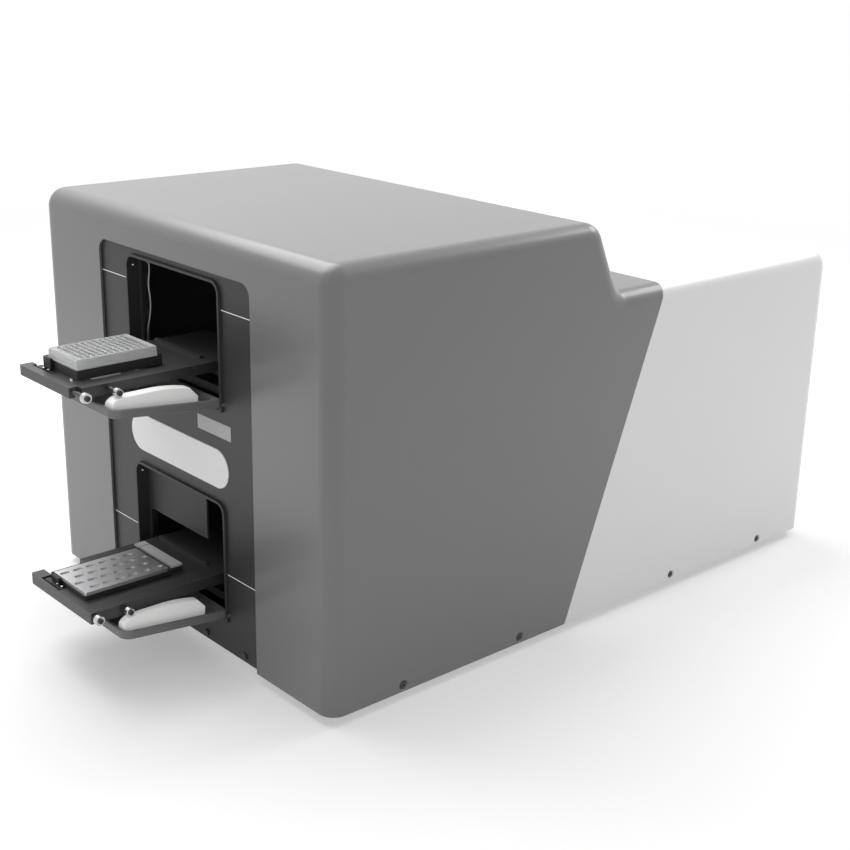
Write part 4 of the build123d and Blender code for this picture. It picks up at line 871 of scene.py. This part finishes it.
class Assembly:
    """One sub-assembly: the CAD nodes that it dresses, and the pieces that it adds."""

    def finishes(self) -> dict[Paint, tuple[str, ...]]:
        """Gives the CAD nodes that have each finish."""
        return {}

    def build(self) -> None:
        """Builds the sub-assembly's own pieces, where it has some."""

    def dress(self, frame: dict) -> None:
        """Gives the sub-assembly's nodes their finishes.

        Args:
            frame: What the frame loader returned.
        """
        for paint, nodes in self.finishes().items():
            paint.dress(frame, *nodes)
        LOG.info("%s is dressed", type(self).__name__)


@dataclass
class Cabinet(Assembly):
    """Covers, base and feet. Sizes are in millimetres of the cabinet's frame.

    Attributes:
        panel_face: The front panel's face.
        line_levels: Heights of the white lines beside the bays.
        line_span: Where a line starts and ends, out from the middle.
        line_half: Half a line's height.
        line_proud: How far a line stands out of the panel.
        plate_x: The blank plate's left and right edge.
        plate_z: Its lower and upper edge.
        plate_proud: How far it stands out of the panel.
        plate_edge: Width of its bevel.
        sunk: How deep a line and the plate reach into the panel.
    """

    panel_face: float = 4.7
    line_levels: Pair = (130.0, 530.0)
    line_span: Pair = (124.0, 200.0)
    line_half: float = 0.6
    line_proud: float = 0.12
    plate_x: Pair = (56.0, 141.0)
    plate_z: Pair = (341.0, 363.0)
    plate_proud: float = 0.3
    plate_edge: float = 0.1
    sunk: float = 0.05

    def finishes(self) -> dict[Paint, tuple[str, ...]]:
        """Gives the CAD nodes that have each finish."""
        return {
            Paint.HOOD: ("front_cover",),
            Paint.REAR: ("rear_cover",),
            Paint.ALUMINIUM: ("base_plate",),
            Paint.RUBBER: ("rubber_feet",),
            Paint.ANODISED: ("cover_screws", "panel_screws"),
            Paint.PANEL: ("front_panel",),
            Paint.COLLAR: ("bay_collars", "bay_bulkhead"),
            Paint.DIFFUSER: ("light_bar",),
        }

    def build(self) -> None:
        """Builds the panel's lines and its blank plate."""
        back = self.panel_face + self.sunk
        lines = Shaper("panel_lines")
        for level in self.line_levels:
            for side in (-1, 1):
                start, end = sorted(side * edge for edge in self.line_span)
                lines.block((start, self.panel_face - self.line_proud, level - self.line_half),
                            (end, back, level + self.line_half))
        # The lines take the cams' finish, with its painted glowing light.
        lines.make("cabinet", Paint.CAM)
        plate = Shaper("blank_plate")
        left, right = self.plate_x
        low, high = self.plate_z
        plate.block((left, self.panel_face - self.plate_proud, low), (right, back, high))
        plate.bevel(self.plate_edge)
        plate.make("cabinet", Paint.REFERENCE)


@dataclass
class SampleBays(Assembly):
    """Trays, doors, rollers and what lies on the trays. Sizes are in millimetres.

    Attributes:
        upper_top: Level of the upper tray's top.
        upper_pins: Places of its small bright screws, across and along.
        lower_top: Level of the lower tray's top.
        lower_pins: Places of its small bright screws.
        pin_radius: A screw head's radius.
        pin_length: Its length.
        pin_sunk: How deep it reaches into the tray.
        pin_edge: Width of its bevel.
    """

    upper_top: float = 442.4
    upper_pins: tuple[Pair, ...] = (
        (-39.8, -183.0), (-27.3, -182.0), (33.5, -180.0), (40.5, -183.0),
    )
    lower_top: float = 117.0
    lower_pins: tuple[Pair, ...] = (
        (-54.0, -182.5), (-29.0, -190.0), (-17.0, -189.5), (-9.5, -183.0),
    )
    pin_radius: float = 2.4
    pin_length: float = 2.1
    pin_sunk: float = 0.5
    pin_edge: float = 0.4

    def finishes(self) -> dict[Paint, tuple[str, ...]]:
        """Gives the CAD nodes that have each finish."""
        named = {
            Paint.DOOR: ("door",),
            Paint.CAM: ("door_cams",),
            Paint.ANODISED: ("tray", "carriage", "tray_fasteners"),
            # The cams' finish emits a little: painted light.
            Paint.NEST: ("nest", "plate_clamp"),
            Paint.GROUND: ("front_rollers", "rear_rollers", "drive_screw"),
        }
        both = {
            paint: tuple(side + name for side in ("upper_", "lower_") for name in names)
            for paint, names in named.items()
        }
        return both | {
            Paint.BRIGHT: ("door_catches", "door_pins", "lead_clips"),
            Paint.REFERENCE: ("reference_bar",),
            Paint.CLEAR: ("microplate",),
            Paint.ALUMINIUM: ("adapter_plate",),
            Paint.LEAD: ("sensor_lead",),
        }

    def build(self) -> None:
        """Builds the plate with its wells, and the small bright screws on the trays."""
        WellPlate().build()
        for side, places, top in (
            ("upper", self.upper_pins, self.upper_top),
            ("lower", self.lower_pins, self.lower_top),
        ):
            pins = Shaper(side + "_tray_pins")
            for x, y in places:
                pins.pin((x, y, top - self.pin_sunk), self.pin_radius, self.pin_length)
            pins.bevel(self.pin_edge)
            pins.make(side + "_tray_body", Paint.BRIGHT, smooth=True)


@dataclass
class Works(Assembly):
    """Stages, read heads, optics and electronics inside the covers."""

    def finishes(self) -> dict[Paint, tuple[str, ...]]:
        """Gives the CAD nodes that have each finish."""
        return {
            Paint.ALUMINIUM: ("stage_tower", "stage_decks", "gantry_beams", "screw_supports"),
            Paint.GROUND: ("stage_rails",),
            Paint.BLACK: ("drive_motors", "detector_camera"),
            Paint.ANODISED: ("upper_read_head", "lower_read_head", "laser_module"),
            Paint.CASE: ("spectrograph_housing", "power_supply"),
            Paint.LAMINATE: ("control_board",),
        }


@dataclass
class RearWall(Assembly):
    """Fans and sockets in the rear wall."""

    def finishes(self) -> dict[Paint, tuple[str, ...]]:
        """Gives the CAD nodes that have each finish."""
        fans = ("fan_frames", "fan_rotor_left", "fan_rotor_right")
        return {
            Paint.ALUMINIUM: ("rear_io_panel", "data_ports"),
            Paint.BLACK: ("power_inlet", "switch_frame", "power_rocker", *fans),
            Paint.BRIGHT: ("fan_grilles",),
        }


def main() -> None:
    """Loads the frame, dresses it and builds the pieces."""
    logging.basicConfig(level=logging.INFO, format="%(name)s: %(message)s")
    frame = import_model()
    Studio().build()
    for assembly in (Cabinet(), SampleBays(), Works(), RearWall()):
        assembly.dress(frame)
        assembly.build()
    bpy.context.view_layer.update()


if __name__ == "__main__":
    main()
